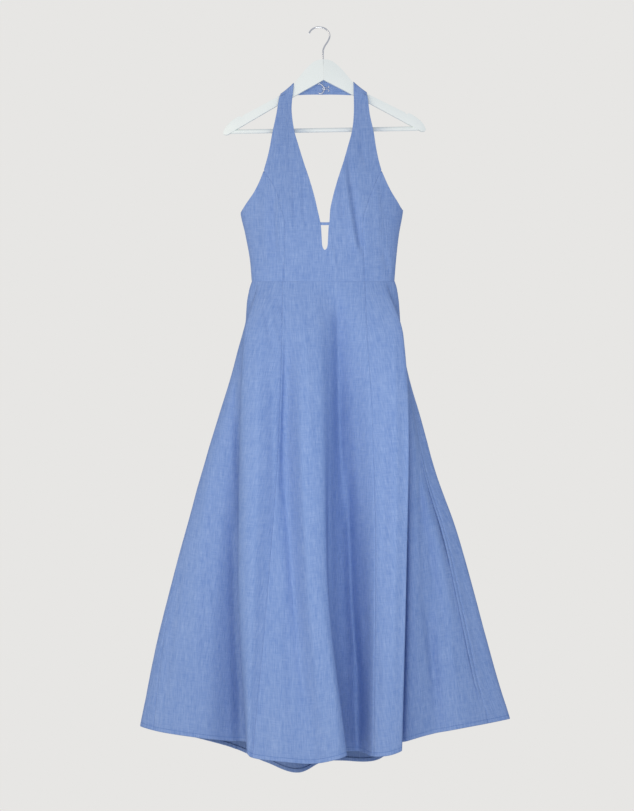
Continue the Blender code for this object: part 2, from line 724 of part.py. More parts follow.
for old in list(bpy.data.objects):
    bpy.data.objects.remove(old, do_unlink=True)
PARTS = collection("halter_dress_on_a_hanger")
CUTTERS = collection("cutters")
DRESS = empty("dress_centre_line", (CENTRE_LINE, 0, 0))
HANGER = empty(
    "hanger_head", (HEAD_TOP[0] * MM, 0, -HEAD_TOP[1] * MM), DRESS, (0, HANGER_TILT, 0)
)
SOCKETS = hanger_sockets()
for arm_side in ("left", "right"):
    hanger_arm(arm_side)
hanger_bar()
hanger_hook()
bodice_centre_front()
for front_side in ("left", "right"):
    bodice_side_front(front_side)
bodice_back()
keyhole_bar()
neck_fastening()
skirt()
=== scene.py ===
"""The looks of a linen halter dress on a painted wooden hanger.

Metres, +Z up, with the origin under the crown of the hanger's hook. Tables are in millimetres:
x from the dress's centre line, y from the hook's plane, positive to the back, and drop downwards.
"""

import functools
import math

import bmesh
import bpy
import numpy as np
from mathutils import Euler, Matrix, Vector


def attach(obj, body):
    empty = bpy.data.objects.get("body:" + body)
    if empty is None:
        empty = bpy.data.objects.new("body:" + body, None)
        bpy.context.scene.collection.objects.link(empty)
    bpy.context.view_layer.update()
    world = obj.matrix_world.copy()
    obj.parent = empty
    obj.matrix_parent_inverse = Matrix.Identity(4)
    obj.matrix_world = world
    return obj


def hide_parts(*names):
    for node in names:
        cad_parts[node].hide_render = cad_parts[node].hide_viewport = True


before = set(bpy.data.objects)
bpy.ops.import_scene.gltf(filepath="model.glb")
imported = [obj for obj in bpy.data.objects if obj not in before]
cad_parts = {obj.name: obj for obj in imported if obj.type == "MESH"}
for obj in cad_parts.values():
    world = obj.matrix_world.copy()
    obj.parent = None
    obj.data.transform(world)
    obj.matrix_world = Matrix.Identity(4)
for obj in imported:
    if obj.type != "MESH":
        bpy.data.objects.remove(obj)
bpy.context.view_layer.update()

# The camera stands five metres in front, level with the middle of an upright picture.
VIEW_DISTANCE = 5
VIEW_HEIGHT = 1.7493
camera_data = bpy.data.cameras.new("camera")
camera_data.lens = 36 * VIEW_DISTANCE / VIEW_HEIGHT
camera = bpy.data.objects.new("camera", camera_data)
camera.location = (-0.00646, -VIEW_DISTANCE, -0.8143)
camera.rotation_euler = (math.pi / 2, 0, 0)
bpy.context.scene.collection.objects.link(camera)
bpy.context.scene.camera = camera
bpy.context.scene.view_settings.view_transform = "Standard"

# A pale studio: even, slightly cool light from all round, a large warm lamp on the left, a small
# one near in front, and a plain floor.
STUDIO_GREY = (0.799, 0.791, 0.776, 1)
AMBIENT = (0.485, 0.503, 0.560, 1)
world = bpy.data.worlds.new("studio")
bpy.context.scene.world = world
world.use_nodes = True
sky = world.node_tree.nodes
sky["Background"].inputs["Color"].default_value = AMBIENT
wall = sky.new("ShaderNodeBackground")
wall.inputs["Color"].default_value = STUDIO_GREY
ray = sky.new("ShaderNodeLightPath")
either = sky.new("ShaderNodeMixShader")
world.node_tree.links.new(ray.outputs["Is Camera Ray"], either.inputs[0])
world.node_tree.links.new(sky["Background"].outputs[0], either.inputs[1])
world.node_tree.links.new(wall.outputs[0], either.inputs[2])
world.node_tree.links.new(either.outputs[0], sky["World Output"].inputs[0])


def soft_lamp(name, place, aim, size, watts, colour=(1, 1, 1)):
    """A square lamp at a place, turned to a point."""
    lamp = bpy.data.lights.new(name, "AREA")
    lamp.size = size
    lamp.energy = watts
    lamp.color = colour
    made = bpy.data.objects.new(name, lamp)
    made.location = place
    made.rotation_euler = (Vector(aim) - Vector(place)).to_track_quat("-Z", "Y").to_euler()
    bpy.context.scene.collection.objects.link(made)


soft_lamp("side_lamp", (-2.3, -2.75, -0.5), (0, 0, -0.8), 2, 33, (1, 0.88, 0.70))
soft_lamp("front_lamp", (0.04, -1.3, -0.88), (0, 0, -0.88), 0.6, 6.0)

bm = bmesh.new()
bmesh.ops.create_circle(bm, cap_ends=True, segments=96, radius=1.15)
bmesh.ops.translate(bm, vec=(0, 0, -1.95), verts=bm.verts)
floor_mesh = bpy.data.meshes.new("floor")
bm.to_mesh(floor_mesh)
bm.free()
floor = bpy.data.objects.new("floor", floor_mesh)
bpy.context.scene.collection.objects.link(floor)
floor_paint = bpy.data.materials.new("floor_paint")
floor_paint.use_nodes = True
floor_paint.node_tree.nodes["Principled BSDF"].inputs["Base Color"].default_value = (
    0.8, 0.79, 0.78, 1
)
floor_paint.node_tree.nodes["Principled BSDF"].inputs["Roughness"].default_value = 0.9
floor_mesh.materials.append(floor_paint)


# Hook of the hanger: a bright chromed wire of 3.5 mm, bent cold to a swan's neck, its straight
# stem pressed into the middle of the head. It turns in its hole, and here it stays as shown.
MM = 0.001
CENTRE_LINE = 8.1
HOOK_WIRE = 1.75
HOOK_ROUTE = (
    # x and drop of the wire's middle, tip first
    (-32.2, 13.2), (-28, 5.6), (-19.5, -0.2), (-8.1, -1.75), (3.4, 1.6), (11, 9.8),
    (12.6, 19.4), (8.6, 29.1), (2.6, 38.4), (-0.9, 46.6), (-1.6, 53.9), (-1.6, 66), (-1.6, 79),
)


class Flow:
    """A number in a material. Arithmetic on it adds the Math nodes that work it out."""

    def __init__(self, finish, socket):
        self.finish = finish
        self.socket = socket

    def math(self, operation, *others, clamp=False):
        inputs = {number + 1: other for number, other in enumerate(others)}
        return self.finish.flow(
            "ShaderNodeMath", {"operation": operation, "use_clamp": clamp}, {0: self, **inputs}
        )

    def __add__(self, other):
        return self.math("ADD", other)

    def __sub__(self, other):
        return self.math("SUBTRACT", other)

    def __mul__(self, other):
        return self.math("MULTIPLY", other)

    def __truediv__(self, other):
        return self.math("DIVIDE", other)

    def __rsub__(self, other):
        return (self * -1) + other

    __radd__ = __add__
    __rmul__ = __mul__


class Finish:
    """A Principled material. Values that are the same all over are set on its own sockets."""

    def __init__(self, name, **sockets):
        self.material = bpy.data.materials.new(name)
        self.material.use_nodes = True
        self.tree = self.material.node_tree
        self.shader = self.tree.nodes["Principled BSDF"]
        for key, value in sockets.items():
            self.shader.inputs[key.replace("_", " ")].default_value = value

    def node(self, kind, settings, inputs):
        """Adds a node: its settings first, then the values or links of its sockets."""
        made = self.tree.nodes.new(kind)
        for key, value in settings.items():
            setattr(made, key, value)
        for key, value in inputs.items():
            self.feed(made.inputs[key], value)
        return made

    def feed(self, socket, value):
        if isinstance(value, Flow):
            self.tree.links.new(value.socket, socket)
        else:
            socket.default_value = value

    def flow(self, kind, settings, inputs, output=0):
        return Flow(self, self.node(kind, settings, inputs).outputs[output])

    def mix(self, share, first, second, blend="MIX"):
        """A colour between two, by a share from 0 to 1."""
        settings = {"data_type": "RGBA", "blend_type": blend, "clamp_factor": True}
        return self.flow("ShaderNodeMix", settings, {0: share, 6: first, 7: second}, 2)

    def noise(self, place, scale, detail=2.0, roughness=0.5, dimensions="3D"):
        settings = {"noise_dimensions": dimensions}
        sockets = {"Vector": place, "Scale": scale, "Detail": detail, "Roughness": roughness}
        return self.flow("ShaderNodeTexNoise", settings, sockets)

    def paint(self, socket, value):
        self.feed(self.shader.inputs[socket], value)

    def bump(self, height, depth):
        """Raises and lowers the surface by a height from 0 to 1, times a depth in metres."""
        sockets = {"Strength": 1.0, "Distance": depth, "Height": height}
        self.paint("Normal", self.flow("ShaderNodeBump", {}, sockets))


def smooth_curve(points, at):
    """Reads a centripetal curve through a row of points."""
    points = np.asarray(points, float)
    at = np.asarray(at, float)
    first = np.clip(np.floor(at).astype(int), 0, len(points) - 2)
    ends = np.vstack((2 * points[:1] - points[1:2], points, 2 * points[-1:] - points[-2:-1]))
    return four_point_curve([ends[first + k] for k in range(4)], at - first)


def four_point_curve(p, part):
    """The stretch between the second and the third of four points, each an array of points."""
    knots = [np.zeros(len(part))]
    for a, b in zip(p[:-1], p[1:]):
        knots.append(knots[-1] + np.sqrt(np.linalg.norm(b - a, axis=-1)) + 1e-9)
    where = knots[1] + part * (knots[2] - knots[1])

    def between(a, b, low, high):
        share = ((where - low) / (high - low))[:, None]
        return a * (1 - share) + b * share

    level = [between(p[k], p[k + 1], knots[k], knots[k + 1]) for k in range(3)]
    upper = [between(level[k], level[k + 1], knots[k], knots[k + 2]) for k in range(2)]
    return between(upper[0], upper[1], knots[1], knots[2])


def wire(name, route, radius, steps, finish, node):
    """A round wire through the points of its route, in millimetres, ends rounded off."""
    curve = bpy.data.curves.new(name, "CURVE")
    curve.dimensions = "3D"
    curve.bevel_depth = radius * MM
    curve.bevel_resolution = 6
    curve.use_fill_caps = True
    spline = curve.splines.new("POLY")
    spline.points.add(steps)
    for number, (point, place) in enumerate(zip(
        spline.points, smooth_curve(route, np.linspace(0, len(route) - 1, steps + 1))
    )):
        point.co = ((place[0] + CENTRE_LINE) * MM, place[1] * MM, place[2] * MM, 1)
        from_end = min(number, steps - number)
        point.radius = (0.55, 0.85, 1.0)[min(from_end, 2)]
    made = bpy.data.objects.new(name, curve)
    bpy.context.scene.collection.objects.link(made)
    curve.materials.append(finish.material)
    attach(made, "root")
    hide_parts(node)
    return made


chrome = Finish("hook_chrome", Metallic=1.0)
chrome_place = chrome.flow("ShaderNodeTexCoord", {}, {}, 3)
chrome_wear = chrome.noise(chrome_place, 260.0, 3.0)
chrome.paint("Base Color", chrome.mix(chrome_wear, (0.72, 0.73, 0.74, 1), (0.82, 0.83, 0.84, 1)))
chrome.paint("Roughness", chrome_wear * 0.14 + 0.12)
wire(
    "hook_wire", [(x, 0, -drop) for x, drop in HOOK_ROUTE], HOOK_WIRE, 96, chrome,
    "hanger_hook",
)


# Arms of the hanger: two boards of beech, sawn to a swept shape, rounded over along their edges,
# glued end to end under the hook and sprayed with satin white paint. Each has a notch for loops.
HEAD_X = -1.2
HEAD_DROP = 68.4
HANGER_TILT = math.radians(-1)
ARM_SWEEP = math.tan(math.radians(5))
ARM_THICKNESS = 13
ARM_EDGE = (
    # reach top bottom
    (0.15, 0, -44), (9, -0.8, -48.8), (17, -3.2, -53), (27, -9.8, -58.3), (38, -20, -64),
    (50, -34, -70.4), (63.6, -49.6, -77.6), (78, -62.5, -84.9), (95, -74.8, -93.5),
    (130, -93, -112.6), (165, -110.9, -131.8), (174, -115.3, -136.8), (177, -118.8, -138.5),
    (180, -118.8, -140.1), (183, -117.6, -141.8), (190, -120.6, -145.6), (203, -129.5, -153),
    (211, -137, -156.8), (216.5, -145, -156.4), (219, -150, -154),
)
ARM_ROUNDING = 3.1


def monotone(at, knots, values):
    """Reads a cubic curve through the knots that never swings past them."""
    at = np.asarray(at, float)
    knots = np.asarray(knots, float)
    values = np.asarray(values, float)
    step = np.diff(knots)
    slope = np.diff(values) / step
    tangent = np.empty_like(values)
    tangent[0] = slope[0]
    tangent[-1] = slope[-1]
    before = 2 * step[1:] + step[:-1]
    after = step[1:] + 2 * step[:-1]
    same_way = slope[:-1] * slope[1:] > 0
    safe_left = np.where(same_way, slope[:-1], 1)
    safe_right = np.where(same_way, slope[1:], 1)
    mean = (before + after) / (before / safe_left + after / safe_right)
    tangent[1:-1] = np.where(same_way, mean, 0)
    place = np.clip(np.searchsorted(knots, at, side="right") - 1, 0, len(knots) - 2)
    width = step[place]
    part = np.clip((at - knots[place]) / width, 0, 1)
    square = part * part
    cube = square * part
    start = (2 * cube - 3 * square + 1) * values[place]
    end = (3 * square - 2 * cube) * values[place + 1]
    leave = (cube - 2 * square + part) * width * tangent[place]
    arrive = (cube - square) * width * tangent[place + 1]
    return start + end + leave + arrive


def hang_up(x, y, z):
    """A point of the hanger, from the middle of its head's top, to its tilted place in metres."""
    tilt = Euler((0, HANGER_TILT, 0)).to_matrix()
    place = tilt @ Vector((x, y, z))
    return (place + Vector((HEAD_X + CENTRE_LINE, 0, -HEAD_DROP))) * MM


def show(name, bm, finish, node, smooth_angle=None):
    """Makes a finished piece of a mesh, which stands for its CAD node."""
    mesh = bpy.data.meshes.new(name)
    bm.to_mesh(mesh)
    bm.free()
    made = bpy.data.objects.new(name, mesh)
    bpy.context.scene.collection.objects.link(made)
    if smooth_angle is None:
        mesh.shade_smooth()
    else:
        mesh.set_sharp_from_angle(angle=math.radians(smooth_angle))
    mesh.materials.append(finish.material)
    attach(made, "root")
    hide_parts(node)
    return made


paint = Finish("white_paint", IOR=1.46, Coat_Roughness=0.2)
paint_place = paint.flow("ShaderNodeTexCoord", {}, {}, 3)
grain_place = paint.flow(
    "ShaderNodeMapping", {}, {"Vector": paint_place, "Scale": (14.0, 90.0, 120.0)}
)
paint_grain = paint.noise(grain_place, 1.0, 4.0, 0.6)
paint_orange_peel = paint.noise(paint_place, 900.0, 1.0)
paint_stain = paint.noise(paint_place, 22.0, 3.0)
paint.paint("Base Color", paint.mix(
    paint_stain * 0.7 + paint_grain * 0.3, (0.855, 0.920, 0.885, 1), (0.920, 0.965, 0.940, 1)
))
paint.paint("Roughness", paint_grain * 0.16 + 0.3)
paint.bump(paint_grain * 0.7 + paint_orange_peel * 0.3, 0.00012)


def hanger_arm(side):
    sign = -1 if side == "left" else 1
    reaches = [row[0] for row in ARM_EDGE]
    fine = np.unique(np.concatenate((np.linspace(reaches[0], reaches[-1], 90), reaches)))
    top = monotone(fine, reaches, [row[1] for row in ARM_EDGE])
    bottom = monotone(fine, reaches, [row[2] for row in ARM_EDGE])
    outline = list(zip(fine, top)) + list(zip(fine, bottom))[::-1]
    bm = bmesh.new()
    front = bm.faces.new([bm.verts.new((x, -ARM_THICKNESS / 2, z)) for x, z in outline])
    pulled = bmesh.ops.extrude_face_region(bm, geom=[front])
    back = [item for item in pulled["geom"] if isinstance(item, bmesh.types.BMVert)]
    bmesh.ops.translate(bm, vec=(0, ARM_THICKNESS, 0), verts=back)
    bmesh.ops.recalc_face_normals(bm, faces=bm.faces)
    rims = [
        edge for edge in bm.edges
        if edge.calc_face_angle(0) > math.radians(60)
        and abs(edge.verts[0].co.y - edge.verts[1].co.y) < 0.1
        and max(edge.verts[0].co.x, edge.verts[1].co.x) > reaches[0] + 0.01
    ]
    bmesh.ops.bevel(
        bm, geom=rims, offset=ARM_ROUNDING, offset_type="OFFSET", affect="EDGES", segments=5,
        profile=0.5, material=-1, clamp_overlap=True,
    )
    for vert in bm.verts:
        x, y, z = vert.co
        thin = 1 - 0.55 * max(0.0, (x - 203) / 16) ** 2
        vert.co = hang_up(sign * x, y * thin + x * ARM_SWEEP, z)
    bmesh.ops.remove_doubles(bm, verts=bm.verts, dist=1e-6)
    bmesh.ops.recalc_face_normals(bm, faces=bm.faces)
    show("arm_" + side, bm, paint, "hanger_arm_" + side, 35)


for arm_side in ("left", "right"):
    hanger_arm(arm_side)


# Bar of the hanger: a turned dowel of 9 mm, glued into a hole in each arm and painted with it.
BAR_DROP = 150
BAR_RADIUS = 4.7
BAR_REACH = 203
bm = bmesh.new()
bmesh.ops.create_cone(
    bm, cap_ends=True, segments=40, radius1=BAR_RADIUS, radius2=BAR_RADIUS, depth=2 * BAR_REACH
)
bmesh.ops.bevel(
    bm, geom=[edge for edge in bm.edges if edge.calc_face_angle(0) > 1], offset=1,
    offset_type="OFFSET", affect="EDGES", segments=3, profile=0.5, material=-1,
)
for vert in bm.verts:
    across, deep, along = vert.co
    vert.co = hang_up(along, BAR_REACH * ARM_SWEEP + deep, across - BAR_DROP)
bmesh.ops.recalc_face_normals(bm, faces=bm.faces)
show("bar_dowel", bm, paint, "hanger_bar", 40)


# Centre front of the bodice: both sides in one below the keyhole, each cut in one with its strap,
# which passes over the hanger's arm and runs as half of the neck band to the hook and eye behind.
# It is plain-weave linen, its neck and armhole edges faced and pressed.
CLOTH = 1.1
WAIST_DROP = 546
WAIST_FRONT_SAG = 3
WAIST_BACK_SAG = 20
KEYHOLE_TIP = 481.6
KEYHOLE_SIDE = 464.5
PRINCESS_TOP = 312.5
STRAP_TOP = 147
UNDERARM = {"left": 399, "right": 390}
BUST = {"x": 88, "drop": 410, "width": 46, "height": 62, "depth": 8}
BODICE_OVAL = (
    # drop left right side_y front back
    (108, -184, 176, 0, 1, 30),
    (147, -184, 176, 0, 4, 30),
    (187, -184, 176, -1, 12, 30),
    (266, -184, 176, -1, 34, 30),
    (330, -184, 176, 0, 48, 30),
    (399, -179, 170, 2, 54, 30),
    (444, -169, 162, 3, 54, 30),
    (507, -158, 155, 4, 48, 30),
    (546, -155, 152, 4, 44, 30),
)
ARMHOLE = (
    # drop left right
    (143, -93.5, 92.8), (147, -95, 94), (187, -102, 99), (226, -110, 107), (266, -117, 113),
    (305, -127, 122), (330, -136, 132), (356, -149, 145), (380, -166, 160.5), (399, -179, 172),
)
NECK_EDGE = (
    # drop left right
    (120, -65, 64.2), (147, -67.4, 64.6), (174, -69.3, 64.9), (200, -67.3, 63.7),
    (227, -62.7, 60), (253, -55.3, 53.2), (293, -43.3, 42), (332, -30.4, 29.5),
    (371, -19.3, 18.8), (397, -13.3, 13.6), (422, -7.7, 11.9), (429, -6.4, 10.6),
    (464.5, -4.1, 8.7),
)
PRINCESS_SEAM = (
    # drop left right
    (312.5, -128.1, 123.3), (319, -123.2, 119.8), (347, -105.6, 107.3), (364, -99, 100.4),
    (384, -94.9, 93.9), (410, -85.9, 85.6), (422, -82.9, 84.1), (452, -83.7, 83.9),
    (508, -85.5, 86.7), (548, -87.7, 87.5),
)
NECK_BAND = (
    # x of the lower edge, its drop, x of the upper edge, its drop
    (84, 142.5, 62, 116.5), (62, 143.3, 50, 113.5), (38, 142.6, 34, 111.6),
    (18, 142.4, 17, 111.2), (0.1, 142.9, 0.1, 111.6),
)
BAND_MIDDLE = -2.4
OVAL_ANGLES = np.linspace(-12, 372, 1537)
SEAM_DITCH = 0.85           # how deep the cloth dips into a seam, and how far from it it starts
DITCH_WIDTH = 1.7
ALLOWANCE = (0.35, 1.5, 5.0, 9.0)
NEAR_EDGE = (0.17, 0.9, 1.9, 3.4, 5.4)
WAIST_EDGE = (0.04, 0.9, 1.9, 3.4, 5.4)
WAIST_DITCH = 0.12


def table_column(table, column, drop):
    return monotone(drop, [row[0] for row in table], [row[column] for row in table])


def side_number(side):
    return 1 if side == "left" else 2


def gathers(angle):
    """The elastic of the back draws soft folds between the side seams, and none in front."""
    share = (np.asarray(angle, float) - 180) / 180
    inside = (share > 0) & (share < 1)
    ends = np.clip(np.minimum(share, 1 - share) / 0.1, 0, 1)
    wave = 2.5 * np.sin(20 * math.pi * share)
    return np.where(inside, wave * ends, 0)


def waist_drop(angle):
    rise = np.sin(np.radians(angle))
    return WAIST_DROP + np.where(rise > 0, WAIST_FRONT_SAG * rise, WAIST_BACK_SAG * rise ** 2)


def oval_point(angle, drop):
    """A point of the bodice's oval: 0 at the left side, 90 in front, 180 right, 270 behind."""
    turn = np.radians(angle)
    left, right, side, front, back = (
        table_column(BODICE_OVAL, column, drop) for column in range(1, 6)
    )
    x = (left + right) / 2 - (right - left) / 2 * np.cos(turn)
    y = side - np.where(np.sin(turn) > 0, front, back) * np.sin(turn)
    across = (np.abs(x) - BUST["x"]) / BUST["width"]
    down = (drop - BUST["drop"]) / BUST["height"]
    bust = BUST["depth"] * np.exp(-across ** 2 - down ** 2)
    return x, y - bust * np.clip(np.sin(turn), 0, 1)


def oval_angle(x, drop):
    """The angle at which the oval's front reaches x."""
    left = table_column(BODICE_OVAL, 1, drop)
    right = table_column(BODICE_OVAL, 2, drop)
    share = (x - (left + right) / 2) / ((right - left) / 2)
    return np.degrees(np.arccos(np.clip(-share, -1, 1)))


def keyhole_edge(side, drop):
    """The neck edge, with the round tip of the keyhole below its straight sides."""
    column = side_number(side)
    if drop <= KEYHOLE_SIDE:
        return float(table_column(NECK_EDGE, column, drop))
    middle = (NECK_EDGE[-1][1] + NECK_EDGE[-1][2]) / 2
    if drop >= KEYHOLE_TIP:
        return middle
    share = (drop - KEYHOLE_SIDE) / (KEYHOLE_TIP - KEYHOLE_SIDE)
    half = (NECK_EDGE[-1][2] - NECK_EDGE[-1][1]) / 2 * math.sqrt(1 - share ** 2)
    return middle - half if side == "left" else middle + half


def edge_places(length, count, seams=(True, True)):
    """Distances along a row from edge to edge, close together near both. A seam's edge stops
    short of the seam line, and a free edge doesn't."""
    shrink = min(1.0, length / 16)
    near = np.array(NEAR_EDGE) * shrink
    start, end = (near - (0 if sewn else near[0]) for sewn in seams)
    inner = 7.5 * shrink
    middle = np.linspace(inner, length - inner, count)
    return np.concatenate((start, middle, length - end[::-1]))


def ditch(distance):
    """How far the cloth sinks towards a seam at this distance from it."""
    return SEAM_DITCH * np.exp(-(np.abs(distance) / DITCH_WIDTH) ** 2)


def allowance_depth(distance):
    """A seam allowance lies under the neighbour's cloth."""
    return CLOTH + 0.25 + ditch(distance)


def bodice_row(drop, start_angle, end_angle, count, seams):
    """One row of a front piece at one drop: points, how far in each sinks, and its distance
    across the cloth from the centre line. Seams say where it starts or ends in one: "sunk" for
    the piece whose edge lies on top, "under" for the one with the allowance."""
    drops = np.full(len(OVAL_ANGLES), float(drop))
    x, y = oval_point(OVAL_ANGLES, drops)
    steps = np.hypot(np.diff(x), np.diff(y))
    lengths = np.concatenate(([0], np.cumsum(steps)))
    low = float(np.interp(start_angle, OVAL_ANGLES, lengths))
    high = float(np.interp(end_angle, OVAL_ANGLES, lengths))
    places = edge_places(high - low, count, [bool(seam) for seam in seams])
    sink = np.zeros(len(places))
    if seams[0]:
        sink += ditch(places)
    if seams[1]:
        sink += ditch(high - low - places)
    if seams[0] == "under":
        beyond = -np.array(ALLOWANCE[::-1])
        places = np.concatenate((beyond, places))
        sink = np.concatenate((allowance_depth(beyond), sink))
    if seams[1] == "under":
        beyond = np.array(ALLOWANCE)
        places = np.concatenate((places, high - low + beyond))
        sink = np.concatenate((sink, allowance_depth(beyond)))
    angles = np.interp(low + places, lengths, OVAL_ANGLES)
    x, y = oval_point(angles, np.full(len(angles), float(drop)))
    seat = waist_drop(angles) - WAIST_DROP
    settle = min(1.0, max(0.0, (drop - KEYHOLE_TIP) / (WAIST_DROP - KEYHOLE_TIP)))
    points = np.stack((x, y, drop + seat * settle), axis=1)
    centre = float(np.interp(90.7, OVAL_ANGLES, lengths))
    return points, sink, low + places - centre


def relief(x, drop, creases):
    """How far soft creases lift the cloth towards the front. A crease runs down its rows of
    drop, x, width to its left, width to its right and height."""
    lift = np.zeros_like(x)
    for rows in creases:
        drops = [row[0] for row in rows]
        inside = (drop > drops[0]) & (drop < drops[-1])
        if not inside.any():
            continue
        middle, left, right, height = (
            monotone(drop[inside], drops, [row[column] for row in rows]) for column in range(1, 5)
        )
        away = x[inside] - middle
        share = away / np.where(away < 0, left, right)
        lift[inside] += height * np.exp(-share ** 2)
    return lift


def outward(points):
    """Unit normals of a grid of points that runs left to right and from its bottom up."""
    across = np.gradient(points, axis=1)
    up = np.gradient(points, axis=0)
    normal = np.cross(across, up)
    return normal / np.maximum(np.linalg.norm(normal, axis=-1, keepdims=True), 1e-12)


def lay_cloth(bm, points, sink, across, down, lift=None, turned=0):
    """Lays a grid of cloth in the mesh. Points are in table millimetres, and each sinks inwards
    by its sink; across and down are its place in the flat cloth, kept as its UV map. The first
    rows may be a hem that is turned up behind the rest."""
    place = points * (1, 1, -1)
    facing = outward(place)
    facing[:turned + 1] = facing[turned + 1]
    place = place - facing * np.asarray(sink)[..., None]
    if lift is not None:
        place[..., 1] -= lift
    place = (place + (CENTRE_LINE, 0, 0)) * MM
    rows, columns = place.shape[:2]
    made = bmesh.ops.create_grid(bm, x_segments=columns - 1, y_segments=rows - 1, size=1)
    for vert, at in zip(made["verts"], place.reshape(-1, 3)):
        vert.co = at
    u = np.broadcast_to(across, (rows, columns)).reshape(-1) * MM
    v = np.broadcast_to(down, (rows, columns)).reshape(-1) * MM
    layer = bm.loops.layers.uv.get("cloth") or bm.loops.layers.uv.new("cloth")
    number = {vert: count for count, vert in enumerate(made["verts"])}
    for face in {face for vert in made["verts"] for face in vert.link_faces}:
        for loop in face.loops:
            index = number[loop.vert]
            loop[layer].uv = (u[index], v[index])


def sew(name, bm, finish, node, thickness=CLOTH):
    """Finishes a piece of cloth: one sheet with a wall."""
    bmesh.ops.remove_doubles(bm, verts=bm.verts, dist=2e-6)
    bmesh.ops.recalc_face_normals(bm, faces=bm.faces)
    made = show(name, bm, finish, node)
    wall = made.modifiers.new("cloth", "SOLIDIFY")
    wall.thickness = thickness * MM
    wall.offset = 0
    return made


HEM_STITCHES = 992           # where the hem is stitched, down the gores
LINEN_DEEP = (0.158, 0.270, 0.575, 1)
LINEN_PALE = (0.300, 0.425, 0.715, 1)
linen = Finish("linen", Roughness=0.85, Specular_IOR_Level=0.25)
linen_uv = linen.node("ShaderNodeUVMap", {"uv_map": "cloth"}, {})
linen_split = linen.node("ShaderNodeSeparateXYZ", {}, {0: Flow(linen, linen_uv.outputs[0])})
linen_across = Flow(linen, linen_split.outputs[0]) * 1000
linen_down = Flow(linen, linen_split.outputs[1]) * 1000


def yarn(across_size, down_size, seed, detail=1.0):
    """Noise stretched along the threads; sizes are in millimetres."""
    place = linen.flow("ShaderNodeCombineXYZ", {}, {
        0: linen_across / across_size + seed, 1: linen_down / down_size + seed,
    })
    return linen.noise(place, 1.0, detail, 0.5, "2D")


warp_slubs = yarn(1.9, 34.0, 3.0)
fine_warp = yarn(1.3, 16.0, 5.0)
warp_bands = yarn(6.0, 150.0, 11.0)
weft_slubs = yarn(26.0, 1.7, 23.0)
mottle = yarn(7.0, 9.0, 37.0, 3.0)
cloud = yarn(70.0, 110.0, 51.0, 2.0)
weave = (
    (linen_across * (2 * math.pi / 0.9)).math("SINE")
    * (linen_down * (2 * math.pi / 0.9)).math("SINE")
)
threads = warp_slubs * 0.95 + fine_warp * 0.75 + warp_bands * 0.2 + weft_slubs * 0.6
hem_row = (1 - (linen_down - HEM_STITCHES).math("ABSOLUTE") * 0.8).math("MAXIMUM", 0)
stitches = hem_row * ((linen_across * 2.1).math("SINE") * 0.3 + 0.7)
shade = threads + mottle * 0.3 + cloud * 0.25 - stitches * 0.8 - 1.02
linen.paint("Base Color", linen.mix(shade, LINEN_DEEP, LINEN_PALE))
linen.bump(
    warp_slubs * 0.5 + weft_slubs * 0.45 + weave * 0.08 + mottle * 0.35 - stitches * 0.7, 0.0007
)

BODICE_CREASES = (
    # drop, x, width to the left, width to the right, lift towards the front
    # right bust: a soft fold from the strap to a small pinch over the waist
    ((270, 40, 7, 5, 0), (318, 45, 9, 6, 2.5), (371, 51, 9, 6, 4.5), (420, 58, 9, 6, 4.8),
     (460, 65, 8, 5, 3.6), (482, 70, 6, 4, 1.5), (492, 72, 5, 4, 0)),
    ((262, 54, 5, 8, 0), (318, 55, 5, 9, -3.4), (371, 62, 5, 10, -5.4), (420, 69, 5, 10, -6.4),
     (460, 75, 4, 9, -5.6), (482, 80, 4, 7, -2.6), (496, 82, 4, 6, 0)),
    ((470, 80, 4, 4, 0), (482, 78, 4, 3, 1.8), (492, 79, 4, 4, 0)),
    ((300, 34, 6, 6, 0), (345, 38, 6, 6, -2.6), (400, 42, 6, 6, -3), (450, 46, 6, 6, 0)),
    ((330, 108, 7, 6, 0), (365, 114, 8, 6, 1.8), (410, 118, 8, 6, 2), (470, 118, 8, 7, 0)),
    ((470, 128, 8, 5, 0), (496, 132, 8, 5, -2.4), (520, 138, 8, 5, -1.8), (541, 142, 7, 5, 0)),
    # left bust: a trough beside the seam and a ridge on each side of it
    ((352, -105, 6, 6, 0), (385, -107, 7, 6, -4), (420, -108, 7, 6, -5), (460, -106, 7, 6, -5),
     (490, -101, 6, 6, -3), (512, -97, 6, 6, 0)),
    ((345, -126, 9, 8, 0), (400, -128, 9, 8, 2.4), (470, -124, 9, 8, 2.4), (520, -118, 9, 8, 0)),
    ((340, -88, 8, 7, 0), (390, -91, 8, 7, 2.2), (445, -91, 8, 7, 2), (510, -88, 8, 7, 0)),
    ((280, -62, 7, 7, 0), (320, -64, 7, 7, -3.2), (390, -63, 7, 7, -3.6), (430, -60, 7, 7, -2),
     (470, -58, 7, 7, 0)),
    ((318, -42, 6, 5, 0), (350, -44, 6, 5, -2), (392, -43, 6, 6, -2.2), (440, -36, 6, 6, 0)),
    # straps: long shallow waves down their length
    ((215, 78, 6, 6, 0), (240, 80, 6, 6, -1.6), (275, 84, 6, 6, -1.6), (310, 92, 6, 6, 0)),
    ((170, -80, 5, 5, 0), (205, -84, 6, 5, 1.8), (250, -92, 7, 6, 2), (300, -106, 7, 7, 0)),
    ((180, -68, 4, 5, 0), (215, -70, 5, 5, -1.5), (262, -74, 5, 6, -1.8), (320, -82, 6, 6, 0)),
    # over the waist: small creases under the keyhole and at both sides
    ((430, 10, 5, 6, 0), (470, 14, 5, 5, 1.3), (505, 22, 6, 5, 1.6), (540, 30, 6, 6, 0)),
    ((484, -120, 6, 6, 0), (515, -116, 6, 5, 2), (541, -110, 6, 6, 0)),
)


